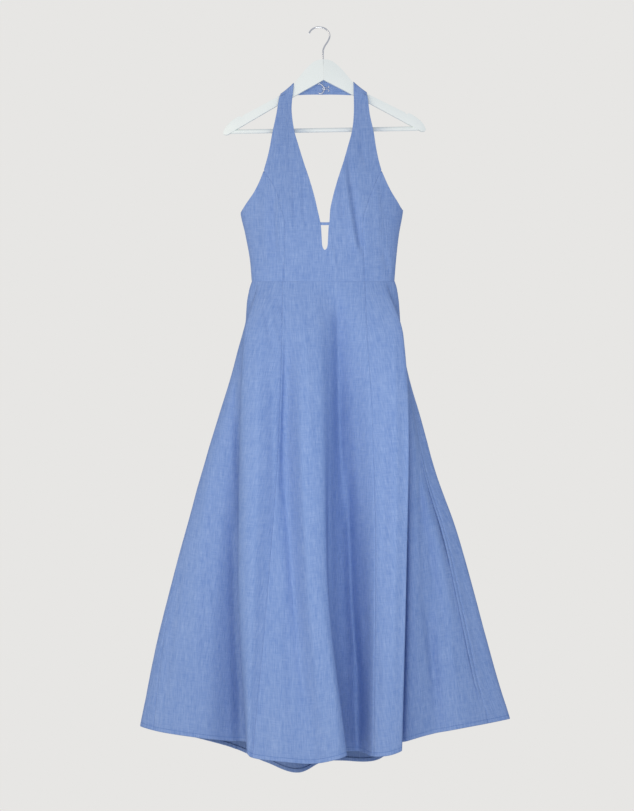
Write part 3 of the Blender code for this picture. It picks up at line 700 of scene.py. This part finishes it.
def arm_top(x):
    """Drop of the top of the tilted hanger's arm at this x of the dress."""
    reaches = [row[0] for row in ARM_EDGE]
    tops = [row[1] for row in ARM_EDGE]
    along = x - HEAD_X
    for _ in range(2):
        top = monotone(np.abs(along), reaches, tops)
        along = x - HEAD_X - top * math.sin(HANGER_TILT)
    return HEAD_DROP - top + along * math.sin(HANGER_TILT)


def arm_middle(x):
    return np.abs(x - HEAD_X) * ARM_SWEEP


def strap_turn(side, shares):
    """Rows of a strap over the arm of the hanger, then along the neck band to its end; shares
    run from the armhole edge to the neck edge."""
    column = side_number(side)
    sign = -1 if side == "left" else 1
    outer = ARMHOLE[0][column]
    inner = NECK_EDGE[0][column]
    x = outer + (inner - outer) * shares
    face = ARM_THICKNESS / 2 + 1.5
    rows = []
    # height over the wood's top edge, and place across its thickness
    for lift, across in ((-4, -1), (0.4, -0.85), (1.9, -0.35), (1.9, 0.35), (0.4, 0.85), (-4, 1)):
        rows.append(np.stack((x, arm_middle(x) + face * across, arm_top(x) - lift), axis=1))
    for low_x, low_drop, high_x, high_drop in NECK_BAND:
        x = sign * (low_x + (high_x - low_x) * shares)
        x += BAND_MIDDLE * (1 - low_x / NECK_BAND[0][0])
        drops = low_drop + (high_drop - low_drop) * shares
        rows.append(np.stack((x, arm_middle(x) + face, drops), axis=1))
    return rows


def front_levels(top):
    """Drops of the rows of a front piece, from the waist up."""
    near = WAIST_DROP - np.array(WAIST_EDGE)
    body = np.linspace(WAIST_DROP - 7.5, KEYHOLE_TIP + 0.01, 14)
    tip = KEYHOLE_TIP - (KEYHOLE_TIP - KEYHOLE_SIDE) * np.linspace(0, 1, 9) ** 1.6
    rest = np.linspace(KEYHOLE_SIDE - 2, PRINCESS_TOP, 38)
    levels = [near, body, tip, rest]
    if top == "strap":
        levels.append(np.linspace(PRINCESS_TOP - 4, STRAP_TOP, 40))
    return np.concatenate(levels)


def waist_sink(drop):
    """The waist seam is pressed so flat that it hardly shows."""
    return WAIST_DITCH * float(ditch(WAIST_DROP - drop))


bm = bmesh.new()
for side in ("left", "right"):
    column = side_number(side)
    points = []
    sinks = []
    acrosses = []
    for drop in front_levels("strap"):
        below = drop >= PRINCESS_TOP
        outer = float(table_column(PRINCESS_SEAM if below else ARMHOLE, column, drop))
        angles = sorted((
            float(oval_angle(outer, drop)), float(oval_angle(keyhole_edge(side, drop), drop)),
        ))
        outside = "sunk" if below else ""
        kinds = (outside, "") if side == "left" else ("", outside)
        row, sink, across = bodice_row(drop, angles[0], angles[1], 30, kinds)
        points.append(row)
        sinks.append(sink + waist_sink(drop))
        acrosses.append(across)
    shares = (acrosses[-1] - acrosses[-1][0]) / (acrosses[-1][-1] - acrosses[-1][0])
    turn = strap_turn(side, shares if side == "left" else 1 - shares)
    guide = np.array(points[-2:] + turn)
    at = np.concatenate((np.linspace(1, 7, 37)[1:], np.linspace(7, len(guide) - 1, 33)[1:]))
    turned = np.stack([smooth_curve(guide[:, k], at) for k in range(guide.shape[1])], axis=1)
    points = np.concatenate((np.array(points), turned))
    sinks = np.concatenate((np.array(sinks), np.zeros(turned.shape[:2])))
    acrosses = np.concatenate((np.array(acrosses), np.repeat([acrosses[-1]], len(turned), 0)))
    middle = points[:, points.shape[1] // 2]
    lengths = np.concatenate(([0], np.cumsum(np.linalg.norm(np.diff(middle, axis=0), axis=1))))
    downs = (WAIST_DROP - lengths)[:, None]
    lift = relief(points[..., 0], points[..., 2], BODICE_CREASES)
    lay_cloth(bm, points, sinks, acrosses, downs, lift)
sew(
    "centre_front_cloth", bm, linen, "bodice_centre_front",
)


# Side fronts of the bodice: from the side seam and the armhole to the curved princess seam, which
# is stitched right sides together and pressed towards the middle.
def side_front(side):
    column = side_number(side)
    points = []
    sinks = []
    acrosses = []
    levels = front_levels("princess seam")
    for drop in levels:
        seam = float(oval_angle(float(table_column(PRINCESS_SEAM, column, drop)), drop))
        if drop >= UNDERARM[side]:
            outer = 0.0 if side == "left" else 180.0
        else:
            outer = float(oval_angle(float(table_column(ARMHOLE, column, drop)), drop))
        low, high = sorted((outer, seam))
        kinds = ("", "under") if side == "left" else ("under", "")
        row, sink, across = bodice_row(drop, low, high, 20, kinds)
        points.append(row)
        sinks.append(sink + waist_sink(drop))
        acrosses.append(across)
    points = np.array(points)
    lift = relief(points[..., 0], points[..., 2], BODICE_CREASES)
    bm = bmesh.new()
    lay_cloth(bm, points, np.array(sinks), np.array(acrosses), levels[:, None], lift)
    sew(
        "side_front_cloth_" + side, bm, linen, "bodice_side_front_" + side,
    )


for front_side in ("left", "right"):
    side_front(front_side)


# Back of the bodice: a low band, its top turned over an elastic that draws it in between the side
# seams. It hides behind the front, so it is finished plainly.
BACK_NECK_DROP = 492
angles = np.linspace(180, 360, 241)
depth = np.sin(np.radians(angles)) ** 2
sides = np.where(angles < 270, UNDERARM["right"], UNDERARM["left"])
tops = sides + 3 + (BACK_NECK_DROP - sides) * (1 - (1 - depth) ** 2) ** 0.8
bottoms = waist_drop(angles)
ring_x, ring_y = oval_point(angles, np.full(len(angles), float(WAIST_DROP)))
ring_steps = np.hypot(np.diff(ring_x), np.diff(ring_y + gathers(angles)))
ring_across = np.concatenate(([0], np.cumsum(ring_steps)))
points = []
sinks = []
downs = []
for share in np.concatenate(([0.002, 0.02, 0.05], np.linspace(0.09, 1, 32))):
    drops = bottoms + (tops - bottoms) * share
    ring_x, ring_y = oval_point(angles, np.minimum(drops, WAIST_DROP))
    points.append(np.stack((ring_x, ring_y + gathers(angles), drops), axis=1))
    sinks.append(WAIST_DITCH * ditch(bottoms - drops))
    downs.append(drops)
bm = bmesh.new()
lay_cloth(bm, np.array(points), np.array(sinks), ring_across, np.array(downs))
sew(
    "back_cloth", bm, linen, "bodice_back",
)


# Bar of the keyhole: a narrow strap of the same linen, folded to a flat tube with its seam behind
# and caught behind both neck edges.
BAR_MIDDLE = 425.5
BAR_LAP = 6
BAR_HALF_HEIGHT = 2.75
BAR_HALF_DEPTH = 0.42
BAR_WALL = 0.5
points = []
turns = np.linspace(0, 2 * math.pi, 33)
heights = BAR_HALF_HEIGHT * np.sign(np.sin(turns)) * np.abs(np.sin(turns)) ** 0.45
depths = BAR_HALF_DEPTH * np.sign(np.cos(turns)) * np.abs(np.cos(turns)) ** 0.45
for x in np.linspace(NECK_EDGE[-2][1] - BAR_LAP, NECK_EDGE[-2][2] + BAR_LAP, 31):
    _, y = oval_point(oval_angle(x, BAR_MIDDLE), BAR_MIDDLE)
    sag = 0.6 * math.sin((x - 2.1) / 15 * math.pi / 2 + math.pi / 2)
    points.append(np.stack((
        np.full(33, x), float(y) + CLOTH + 0.6 + depths, BAR_MIDDLE + sag - heights,
    ), axis=1))
points = np.array(points)
loop = np.concatenate(([0], np.cumsum(np.hypot(np.diff(heights), np.diff(depths)))))
bm = bmesh.new()
lay_cloth(bm, points, np.zeros(points.shape[:2]), loop, points[..., 0])
sew(
    "keyhole_strap", bm, linen, "keyhole_bar",
    BAR_WALL,
)


# Skirt: six gores, cut flared, which hang in deep folds from the waist seam. The ring table holds
# every upright fold and seam once, and each gore takes its stretch of it.
STATIONS = (0.0, 0.12, 0.30, 0.62, 1.0)
SKIRT_FOLDS = (
    # name angle hip_x hip_y thigh_x thigh_y knee_x knee_y hem_x hem_y drop
    ("left_tip", 0, -176, 4, -227, 4, -316, 4, -394, 4, 1506),
    ("left_wing_side", 7, -173, -8, -215, -16, -292, -22, -353, -30, 1513),
    ("left_wing", 13, -169, -16, -195, -25, -232, -34, -255, -44, 1526),
    ("left_wing_dip", 18, -165, -22, -180, -28, -191, -18, -185, -6, 1538),
    ("left_tuck", 23, -160, -30, -165, -32, -164, -24, -145, -14, 1539),
    ("left_fold", 29, -170, -48, -178, -66, -181, -84, -163, -90, 1546),
    ("left_lobe", 38, -144, -66, -152, -88, -158, -108, -159, -112, 1552),
    ("front_seam_left", 55.5, -89, -62, -94, -74, -116, -96, -151, -110, 1557),
    ("left_crest", 57.7, -83, -60, -87, -63, -88, -92, -92, -124, 1563),
    ("front_dip", 60.5, -76, -60, -78, -64, -63, -86, -27, -122, 1568),
    ("middle_crest", 71, -46, -72, -44, -96, -31, -120, 13, -138, 1560),
    ("middle_fold", 82, -10, -68, -5, -90, 4, -110, 46, -130, 1551),
    ("middle_tuck", 87.6, 10, -54, 13, -62, 9, -58, 38, -54, 1553),
    ("valley", 95.7, 34, -37, 36, -24, 52, -12, 70, -8, 1559),
    ("right_rise", 110.6, 62, -50, 68, -50, 84, -48, 89, -54, 1558),
    ("front_seam_right", 126, 93, -60, 103, -78, 109, -88, 105, -96, 1557),
    ("right_lobe", 137, 130, -64, 143, -90, 144, -108, 140, -110, 1552),
    ("right_fold", 147.7, 169, -55, 179, -84, 173, -102, 164, -102, 1544),
    ("right_tuck", 152.5, 163, -34, 168, -40, 160, -38, 150, -36, 1541),
    ("right_wing_dip", 156, 165, -26, 178, -34, 187, -34, 202, -34, 1524),
    ("right_wing", 164, 166, -14, 190, -26, 245, -36, 287, -42, 1506),
    ("right_wing_side", 172, 168, -4, 199, -9, 282, -15, 359, -16, 1496),
    ("right_tip", 180, 168, 4, 207, 4, 306, 4, 400, 4, 1490),
    ("back_right_side", 190, 157, 20, 187, 26, 268, 34, 353, 42, 1503),
    ("back_right_wave", 211, 122, 30, 144, 42, 193, 54, 254, 66, 1520),
    ("back_seam_right", 232, 83, 36, 96, 36, 133, 36, 172, 44, 1543),
    ("back_right_crest", 248, 44, 40, 53, 52, 79, 64, 116, 82, 1591),
    ("back_middle_dip", 262, 5, 42, 10, 44, 8, 46, 2, 58, 1590),
    ("back_middle", 277, -34, 41, -32, 36, -45, 28, -56, 22, 1609),
    ("back_left_crest", 292, -65, 38, -69, 48, -95, 56, -126, 58, 1592),
    ("back_seam_left", 308, -95, 34, -106, 42, -156, 52, -192, 66, 1564),
    ("back_left_wave", 329, -130, 28, -151, 32, -221, 40, -280, 46, 1536),
    ("back_left_side", 350, -162, 18, -203, 24, -279, 32, -349, 36, 1517),
)
FOLD = {row[0]: number for number, row in enumerate(SKIRT_FOLDS)}
FOLD_ANGLES = [row[1] for row in SKIRT_FOLDS]
FOLD_COUNT = len(SKIRT_FOLDS)
SIDE_SEAM = {
    "left": (0.0, -0.3, -0.3, 0.3, 0.8),
    "right": (22.0, 21.2, 20.6, 20.9, 20.9),
}
OUTLINE_TRIM = (
    # down, then how far the outline of the left and the right wing stands past a smooth line
    (0, 0, 1), (0.018, 2.2, 3.7), (0.04, 2.6, 4.0), (0.067, 0.4, 2.6), (0.094, -2.4, 0.2),
    (0.12, -1, -2.6), (0.155, 0.2, -4.5), (0.215, -1.6, -4.5), (0.25, -2.3, -3.8),
    (0.31, -1.8, -1.5), (0.36, -1.2, -2.6), (0.41, -1.9, -5.6), (0.46, -2.3, -7.1),
    (0.5, -3, -6.4), (0.55, -4, -5.2), (0.62, -3, -5.7), (0.70, -1, -6.2), (0.76, 1.2, -6.0),
    (0.82, 2.9, -5.2), (0.88, 3.2, -4.2), (0.94, 2.4, -1.8), (0.975, 2.5, 0.8), (1, 2, 2),
)
TRIM_SHARE = {
    "left": {"left_tip": 1, "left_wing_side": 0.85, "left_wing": 0.4, "back_left_side": 0.85,
             "back_left_wave": 0.2},
    "right": {"right_tip": 1, "right_wing_side": 0.85, "right_wing": 0.4,
              "back_right_side": 0.85, "back_right_wave": 0.2},
}
SKIRT_LENGTH = 1000
HEM_TURN = (
    # height over the fold of the hem, and depth behind the face: the turn-up, then the fold
    (8.0, 1.3), (6.4, 1.3), (4.0, 1.3), (2.0, 1.3), (0.9, 1.2), (0.25, 0.95), (0.0, 0.65),
    (0.25, 0.3), (0.9, 0.05),
)


def waist_ring(angles, up=0.0):
    """Points on the waist seam, or a little above it, on the bodice's oval."""
    angles = np.asarray(angles, float)
    x, y = oval_point(angles % 360, np.full(len(angles), WAIST_DROP - up))
    return np.stack((x, y, waist_drop(angles) - up), axis=1)


@functools.lru_cache(maxsize=None)
def ring_of_folds(down):
    """The points of all fold rows at a share of the way from waist to hem."""
    folds = np.empty((FOLD_COUNT, 3))
    waist = waist_ring(FOLD_ANGLES)
    for number, fold in enumerate(SKIRT_FOLDS):
        folds[number, 0] = monotone(down, STATIONS, (waist[number, 0],) + fold[2:9:2])
        folds[number, 1] = monotone(down, STATIONS, (waist[number, 1],) + fold[3:10:2])
        folds[number, 2] = waist[number, 2] + (fold[10] - waist[number, 2]) * down
    for sign, side in ((-1, "left"), (1, "right")):
        trim = sign * float(table_column(OUTLINE_TRIM, side_number(side), down))
        for name, share in TRIM_SHARE[side].items():
            folds[FOLD[name], 0] += trim * share
    return folds


def skirt_point(rows, down):
    """Points of the skirt on the given fold rows, at a share of the way from waist to hem."""
    rows = np.asarray(rows, float)
    numbers = np.arange(-1, FOLD_COUNT + 2)
    turns = [FOLD_ANGLES[-1] - 360] + FOLD_ANGLES + [360, 360 + FOLD_ANGLES[1]]
    angle = monotone((rows + 1) % FOLD_COUNT - 1, numbers, turns)
    first = np.floor(rows).astype(int)

    def ring(folds):
        around = [folds[(first + k) % FOLD_COUNT] for k in (-1, 0, 1, 2)]
        return four_point_curve(around, rows - first)

    points = ring(ring_of_folds(down))
    fade = max(0.0, 1 - down / 0.1)
    if fade:
        points = points + (waist_ring(angle) - ring(waist_ring(FOLD_ANGLES))) * fade
    points[:, 1] += gathers(angle % 360) * max(0.0, 1 - down / 0.16)
    return points


def side_row(seam, down):
    """The fold row of a side seam at this share of the way down."""
    side, turns = seam
    return float(monotone(down, STATIONS, SIDE_SEAM[side])) + turns * FOLD_COUNT


def gore(name, node, start, end, seams, count, creases=()):
    """One gore between two seams: numbers of fold rows, or a side seam."""
    heights = np.concatenate((
        np.array(WAIST_EDGE), np.linspace(7.5, SKIRT_LENGTH - 8, 196),
        SKIRT_LENGTH - np.array((6.0, 4.2, 2.6, 1.6)),
    ))[::-1]
    rows = [(SKIRT_LENGTH - up, deep) for up, deep in HEM_TURN]
    rows += [(height, 0.0) for height in heights]
    rows += [(-up, CLOTH + 0.25 + WAIST_DITCH * float(ditch(up))) for up in ALLOWANCE]
    points = []
    sinks = []
    acrosses = []
    for place, deep in rows:
        down = max(0.0, place) / SKIRT_LENGTH
        low = side_row(start, down) if isinstance(start, tuple) else start
        high = side_row(end, down) if isinstance(end, tuple) else end
        fine = np.linspace(low - 0.8, high + 0.8, 700)
        around = skirt_point(fine, down)
        lengths = np.concatenate((
            [0], np.cumsum(np.linalg.norm(np.diff(around[:, :2], axis=0), axis=1))
        ))
        first, last = np.interp((low, high), fine, lengths)
        width = last - first
        across = edge_places(width, count)
        sink = deep + np.zeros(len(across))
        if seams[0]:
            sink += ditch(across)
        if seams[1]:
            sink += ditch(width - across)
        if place >= 0:
            sink += WAIST_DITCH * float(ditch(place))
        if seams[0] == "under":
            beyond = -np.array(ALLOWANCE[::-1])
            across = np.concatenate((beyond, across))
            sink = np.concatenate((deep + allowance_depth(beyond), sink))
        if seams[1] == "under":
            beyond = np.array(ALLOWANCE)
            across = np.concatenate((across, width + beyond))
            sink = np.concatenate((sink, deep + allowance_depth(beyond)))
        at = np.interp(first + across, lengths, fine)
        row = skirt_point(at, down)
        if place < 0:
            numbers = np.arange(-1, FOLD_COUNT + 2)
            turns = [FOLD_ANGLES[-1] - 360] + FOLD_ANGLES + [360, 360 + FOLD_ANGLES[1]]
            angle = monotone((at + 1) % FOLD_COUNT - 1, numbers, turns)
            row = waist_ring(angle, -place)
            row[:, 1] += gathers(angle % 360)
        points.append(row)
        sinks.append(sink)
        acrosses.append(across - width / 2)
    points = np.array(points)
    lift = relief(points[..., 0], points[..., 2], creases)
    downs = np.array([place for place, _ in rows])[:, None]
    bm = bmesh.new()
    lay_cloth(bm, points, np.array(sinks), np.array(acrosses), downs, lift, len(HEM_TURN))
    sew(name, bm, linen, node)


SKIRT_CREASES = (
    # left hip: two slanting creases under the waist, and the shade beside the wing
    ((552, -138, 5, 7, 0), (575, -134, 5, 7, -2.2), (630, -122, 6, 9, -3), (680, -112, 7, 9, -2.4),
     (722, -102, 7, 9, 0)),
    ((560, -124, 7, 6, 0), (600, -116, 7, 6, 1.6), (660, -104, 7, 6, 1.6), (700, -96, 7, 6, 0)),
    ((575, -104, 4, 7, 0), (605, -92, 4, 7, -2), (640, -80, 5, 8, -1.8), (670, -72, 5, 8, 0)),
    # left front fold: soft ridges and the troughs between them
    ((640, -134, 8, 10, 0), (760, -138, 10, 12, 3), (980, -140, 10, 14, 3.6),
     (1200, -146, 9, 14, 3), (1400, -150, 8, 12, 0)),
    ((700, -112, 8, 9, 0), (840, -110, 9, 10, -3.2), (1010, -108, 9, 10, -3.4),
     (1130, -112, 8, 9, 0)),
    ((760, -97, 6, 8, 0), (888, -92, 7, 8, -2.4), (1037, -80, 7, 8, -4), (1144, -72, 7, 8, -4.4),
     (1217, -64, 7, 8, -4), (1294, -58, 6, 8, -3.4), (1424, -43, 6, 8, -2), (1500, -36, 6, 8, 0)),
    ((1230, -80, 9, 9, 0), (1320, -78, 9, 9, -2), (1450, -72, 9, 9, -1.8), (1545, -68, 9, 9, 0)),
    ((780, -52, 9, 9, 0), (900, -48, 9, 9, 2.6), (1060, -40, 9, 9, 2.6), (1220, -24, 9, 9, 0)),
    ((600, -42, 8, 8, 0), (700, -38, 8, 8, 2.4), (840, -32, 8, 8, 2.4), (960, -28, 8, 8, 0)),
    ((1180, -10, 10, 6, 0), (1280, 4, 10, 5, 2.4), (1400, 22, 10, 5, 2.8), (1640, 40, 9, 5, 2)),
    # the deep valley right of the middle: a trough with two branches and small ridges in it
    ((590, 32, 12, 14, 0), (640, 32, 13, 16, -3), (760, 32, 14, 16, -5.5), (900, 40, 14, 18, -7),
     (1040, 55, 15, 18, -11), (1200, 65, 15, 19, -17), (1400, 74, 15, 20, -19),
     (1540, 80, 14, 18, -15), (1600, 84, 14, 18, 0)),
    ((790, 44, 6, 8, 0), (860, 45, 6, 8, 3), (1000, 47, 6, 8, 4), (1080, 50, 6, 8, 0)),
    ((560, 30, 6, 8, 0), (620, 29, 6, 8, -2.6), (720, 28, 6, 8, -3.4), (860, 28, 6, 9, -3),
     (980, 34, 6, 9, 0)),
    ((880, 8, 8, 7, 0), (950, 12, 8, 7, 5), (1060, 14, 8, 7, 6.5), (1144, 16, 8, 7, 6.5),
     (1230, 18, 8, 7, 5.5), (1300, 22, 8, 7, 2), (1350, 24, 8, 7, 0)),
    ((960, 50, 7, 8, 0), (1058, 54, 7, 8, -5), (1144, 56, 8, 8, -7), (1230, 58, 8, 8, -8),
     (1315, 66, 8, 9, -6.5), (1400, 76, 8, 11, -5), (1486, 82, 8, 11, -3), (1550, 84, 8, 11, 0)),
    ((1000, 72, 8, 7, 0), (1090, 78, 9, 7, -3.4), (1220, 86, 9, 7, -6), (1330, 92, 9, 7, -5),
     (1450, 92, 8, 7, 0)),
    ((1340, 66, 4, 5, 0), (1400, 70, 4, 5, 1.8), (1470, 72, 4, 5, 1.8), (1540, 72, 4, 5, 0)),
    # right front fold
    ((600, 96, 7, 6, 0), (720, 104, 7, 7, -1.6), (900, 112, 8, 8, -2), (1010, 116, 8, 8, 0)),
    ((640, 148, 8, 8, 0), (780, 152, 9, 9, 3.2), (980, 152, 9, 9, 3.6), (1240, 148, 9, 9, 3),
     (1480, 142, 9, 8, 0)),
    ((760, 128, 8, 7, 0), (900, 130, 8, 8, -2.4), (1080, 128, 8, 8, -2.6), (1240, 126, 8, 8, 0)),
    ((840, 130, 4, 4, 0), (862, 140, 4, 3, 1.4), (884, 150, 4, 4, 0)),
    ((1300, 112, 7, 6, 0), (1400, 116, 7, 6, -2.2), (1520, 118, 7, 6, 0)),
    # left wing: its crest, the shade beside the front fold and small wrinkles
    ((700, -196, 7, 8, 0), (780, -190, 8, 8, -3), (900, -184, 9, 8, -4.5), (1010, -180, 9, 8, -3),
     (1100, -178, 9, 8, 0)),
    ((900, -236, 12, 10, 0), (1060, -256, 14, 12, 3), (1240, -270, 16, 12, 3.4),
     (1460, -284, 16, 12, 0)),
    ((1050, -196, 9, 9, 0), (1180, -194, 10, 8, -4), (1330, -188, 12, 9, -6),
     (1460, -182, 12, 12, -11), (1545, -180, 12, 12, -10), (1600, -178, 12, 12, 0)),
    ((955, -262, 6, 4, 0), (962, -258, 10, 8, 1.4), (970, -252, 6, 4, 0)),
    ((1120, -300, 9, 7, 0), (1240, -318, 10, 8, -2.4), (1400, -336, 10, 8, -2.4),
     (1490, -346, 9, 8, 0)),
    ((1180, -250, 5, 5, 0), (1230, -244, 6, 5, 1.8), (1300, -240, 6, 5, 0)),
    # right wing: it swells beside the front fold, with long slanting wrinkles to the side seam
    ((760, 183, 7, 26, 0), (900, 184, 7, 30, 9), (1060, 184, 7, 34, 16), (1240, 182, 9, 40, 24),
     (1420, 179, 10, 44, 22), (1530, 177, 10, 44, 16), (1590, 177, 10, 44, 0)),
    ((890, 200, 6, 8, 0), (960, 205, 7, 9, -5), (1060, 208, 7, 9, -6), (1150, 212, 7, 9, -4),
     (1250, 216, 8, 9, 0)),
    ((1060, 222, 12, 12, 0), (1200, 227, 13, 14, -7), (1350, 232, 13, 16, -8.5),
     (1490, 240, 13, 14, -4), (1550, 244, 13, 14, 0)),
    ((760, 188, 6, 7, 0), (820, 196, 7, 8, -4), (900, 206, 8, 9, -7), (1000, 226, 9, 10, -7),
     (1100, 256, 9, 11, -4), (1170, 276, 9, 11, 0)),
    ((800, 204, 6, 5, 0), (880, 220, 7, 6, 2.4), (980, 246, 8, 7, 2.8), (1060, 266, 8, 7, 0)),
    ((950, 200, 6, 8, 0), (1040, 212, 7, 9, -4), (1150, 230, 8, 10, -5), (1260, 252, 8, 10, -4),
     (1370, 274, 8, 10, 0)),
    ((1000, 228, 7, 6, 0), (1100, 246, 8, 7, 2.6), (1210, 266, 9, 8, 2.6), (1290, 282, 9, 8, 0)),
    ((1140, 200, 6, 8, 0), (1230, 212, 7, 9, -4), (1340, 228, 8, 10, -5), (1460, 244, 8, 10, -3),
     (1540, 252, 8, 10, 0)),
    ((1100, 282, 7, 9, 0), (1220, 304, 8, 10, -3.6), (1350, 322, 8, 10, -3.8),
     (1460, 336, 8, 9, 0)),
    ((1200, 190, 4, 5, 0), (1300, 196, 5, 6, 2.6), (1420, 206, 5, 6, 2.6), (1510, 216, 5, 6, 0)),
    ((1280, 262, 6, 6, 0), (1350, 276, 7, 6, 2), (1440, 290, 7, 6, 0)),
    ((1240, 340, 7, 6, 0), (1330, 352, 7, 6, 2), (1420, 364, 6, 6, 0)),
)
gore(
    "skirt_centre_front_cloth", "skirt_centre_front", FOLD["front_seam_left"],
    FOLD["front_seam_right"], ("sunk", "sunk"), 96, SKIRT_CREASES,
)


# Side front gores: from the princess seams to the side seams, where the skirt spreads into wings.
gore(
    "skirt_side_front_cloth_left", "skirt_side_front_left", ("left", 0), FOLD["front_seam_left"],
    ("sunk", "under"), 84, SKIRT_CREASES,
)
gore(
    "skirt_side_front_cloth_right", "skirt_side_front_right", FOLD["front_seam_right"],
    ("right", 0), ("under", "sunk"), 84, SKIRT_CREASES,
)


# Back gores: cut like the front ones, and gathered softly under the elastic of the bodice. They
# hide behind the front but for the hem, which hangs lower at the middle.
BACK_CREASES = (
    # soft gathers that run out below the elastic
    ((552, 96, 5, 6, 0), (610, 100, 6, 7, -3), (700, 106, 7, 8, -2), (800, 112, 8, 9, 0)),
    ((552, 62, 5, 6, 0), (600, 64, 6, 7, 2.6), (720, 68, 7, 8, 2), (860, 74, 8, 9, 0)),
    ((552, 26, 5, 6, 0), (620, 28, 6, 7, -3.4), (760, 32, 8, 9, -2.6), (940, 40, 9, 10, 0)),
    ((552, -12, 5, 6, 0), (610, -12, 6, 7, 2.8), (730, -14, 8, 8, 2.2), (880, -18, 8, 9, 0)),
    ((552, -48, 5, 6, 0), (630, -52, 6, 7, -3.2), (780, -60, 8, 9, -2.8), (960, -74, 9, 10, 0)),
    ((552, -84, 5, 6, 0), (600, -88, 6, 7, 2.4), (700, -96, 7, 8, 1.8), (820, -106, 8, 9, 0)),
    # long waves down the gores, uneven in length and depth
    ((700, 150, 9, 10, 0), (900, 178, 12, 14, -5), (1150, 216, 15, 18, -6),
     (1400, 250, 16, 18, -4), (1500, 262, 16, 18, 0)),
    ((800, 118, 9, 10, 0), (1000, 140, 11, 13, 4), (1250, 166, 14, 16, 5), (1480, 186, 14, 16, 0)),
    ((900, 226, 10, 12, 0), (1100, 262, 13, 15, 4), (1320, 304, 15, 16, 4.6),
     (1490, 334, 15, 16, 0)),
    ((700, -150, 9, 10, 0), (900, -176, 12, 14, -5), (1150, -214, 15, 18, -6.4),
     (1400, -250, 16, 18, -4.4), (1510, -266, 16, 18, 0)),
    ((820, -124, 9, 10, 0), (1020, -146, 11, 13, 4), (1260, -176, 14, 16, 5),
     (1500, -204, 14, 16, 0)),
    ((920, -226, 10, 12, 0), (1120, -262, 13, 15, 4.2), (1330, -300, 15, 16, 4.8),
     (1490, -328, 15, 16, 0)),
    ((900, 20, 10, 12, 0), (1100, 30, 12, 14, -5), (1350, 44, 15, 16, -6), (1640, 56, 15, 16, -3)),
    ((960, -20, 10, 12, 0), (1180, -24, 12, 14, 4), (1400, -28, 14, 14, 5),
     (1640, -32, 14, 14, 2)),
    ((980, -70, 10, 12, 0), (1200, -88, 12, 14, -5), (1420, -104, 15, 16, -6),
     (1640, -116, 15, 16, -3)),
)
gore(
    "skirt_side_back_cloth_right", "skirt_side_back_right", ("right", 0),
    FOLD["back_seam_right"], ("under", "sunk"), 66,
    BACK_CREASES,
)
gore(
    "skirt_centre_back_cloth", "skirt_centre_back", FOLD["back_seam_right"],
    FOLD["back_seam_left"], ("under", "under"), 90,
    BACK_CREASES,
)
gore(
    "skirt_side_back_cloth_left", "skirt_side_back_left", FOLD["back_seam_left"],
    ("left", 1), ("sunk", "under"), 66,
    BACK_CREASES,
)


# Neck fastening: a bent wire eye sewn to the left end of the band and a flattened wire hook sewn
# to the right end, caught in it behind the neck.
HOOK_EYE_WIRE = 0.9
HOOK_END_WIRE = 0.6
EYE_ROUTE = (
    (-12.5, -122.4), (-10.6, -119.6), (-7.4, -120.2), (-3.2, -123.2), (0.8, -127.4), (1.2, -132),
    (-0.8, -136.8), (-4.4, -140), (-8.2, -141), (-11, -139.6),
)
HOOK_END_ROUTE = (
    (9.4, -124.4), (11.2, -127.2), (8.4, -128.6), (3, -128.7), (-1.4, -129.1), (-2.4, -130.4),
    (-1.4, -131.7), (3, -132.1), (8.4, -132.2), (11.2, -133.8), (9.6, -136.6),
)
nickel = Finish("nickel_wire", Metallic=1.0)
nickel_place = nickel.flow("ShaderNodeTexCoord", {}, {}, 3)
nickel_wear = nickel.noise(nickel_place, 700.0, 2.0)
nickel.paint("Base Color", nickel.mix(nickel_wear, (0.84, 0.85, 0.87, 1), (0.95, 0.96, 0.97, 1)))
nickel.paint("Roughness", nickel_wear * 0.2 + 0.28)
BAND_FACE = ARM_THICKNESS / 2 + 1.5 - 0.6
eye_y = BAND_FACE - 0.4 - HOOK_EYE_WIRE
wire(
    "eye_wire", [(x, eye_y, z) for x, z in EYE_ROUTE], HOOK_EYE_WIRE, 72, nickel, "neck_eye",
)
over_y = eye_y - HOOK_EYE_WIRE - HOOK_END_WIRE - 0.4
wire(
    "hook_end_wire",
    [
        (x, eye_y + (over_y - eye_y) * min(1, max(0, (8.4 - x) / 6)), z)
        for x, z in HOOK_END_ROUTE
    ],
    HOOK_END_WIRE, 80, nickel, "neck_hook",
)
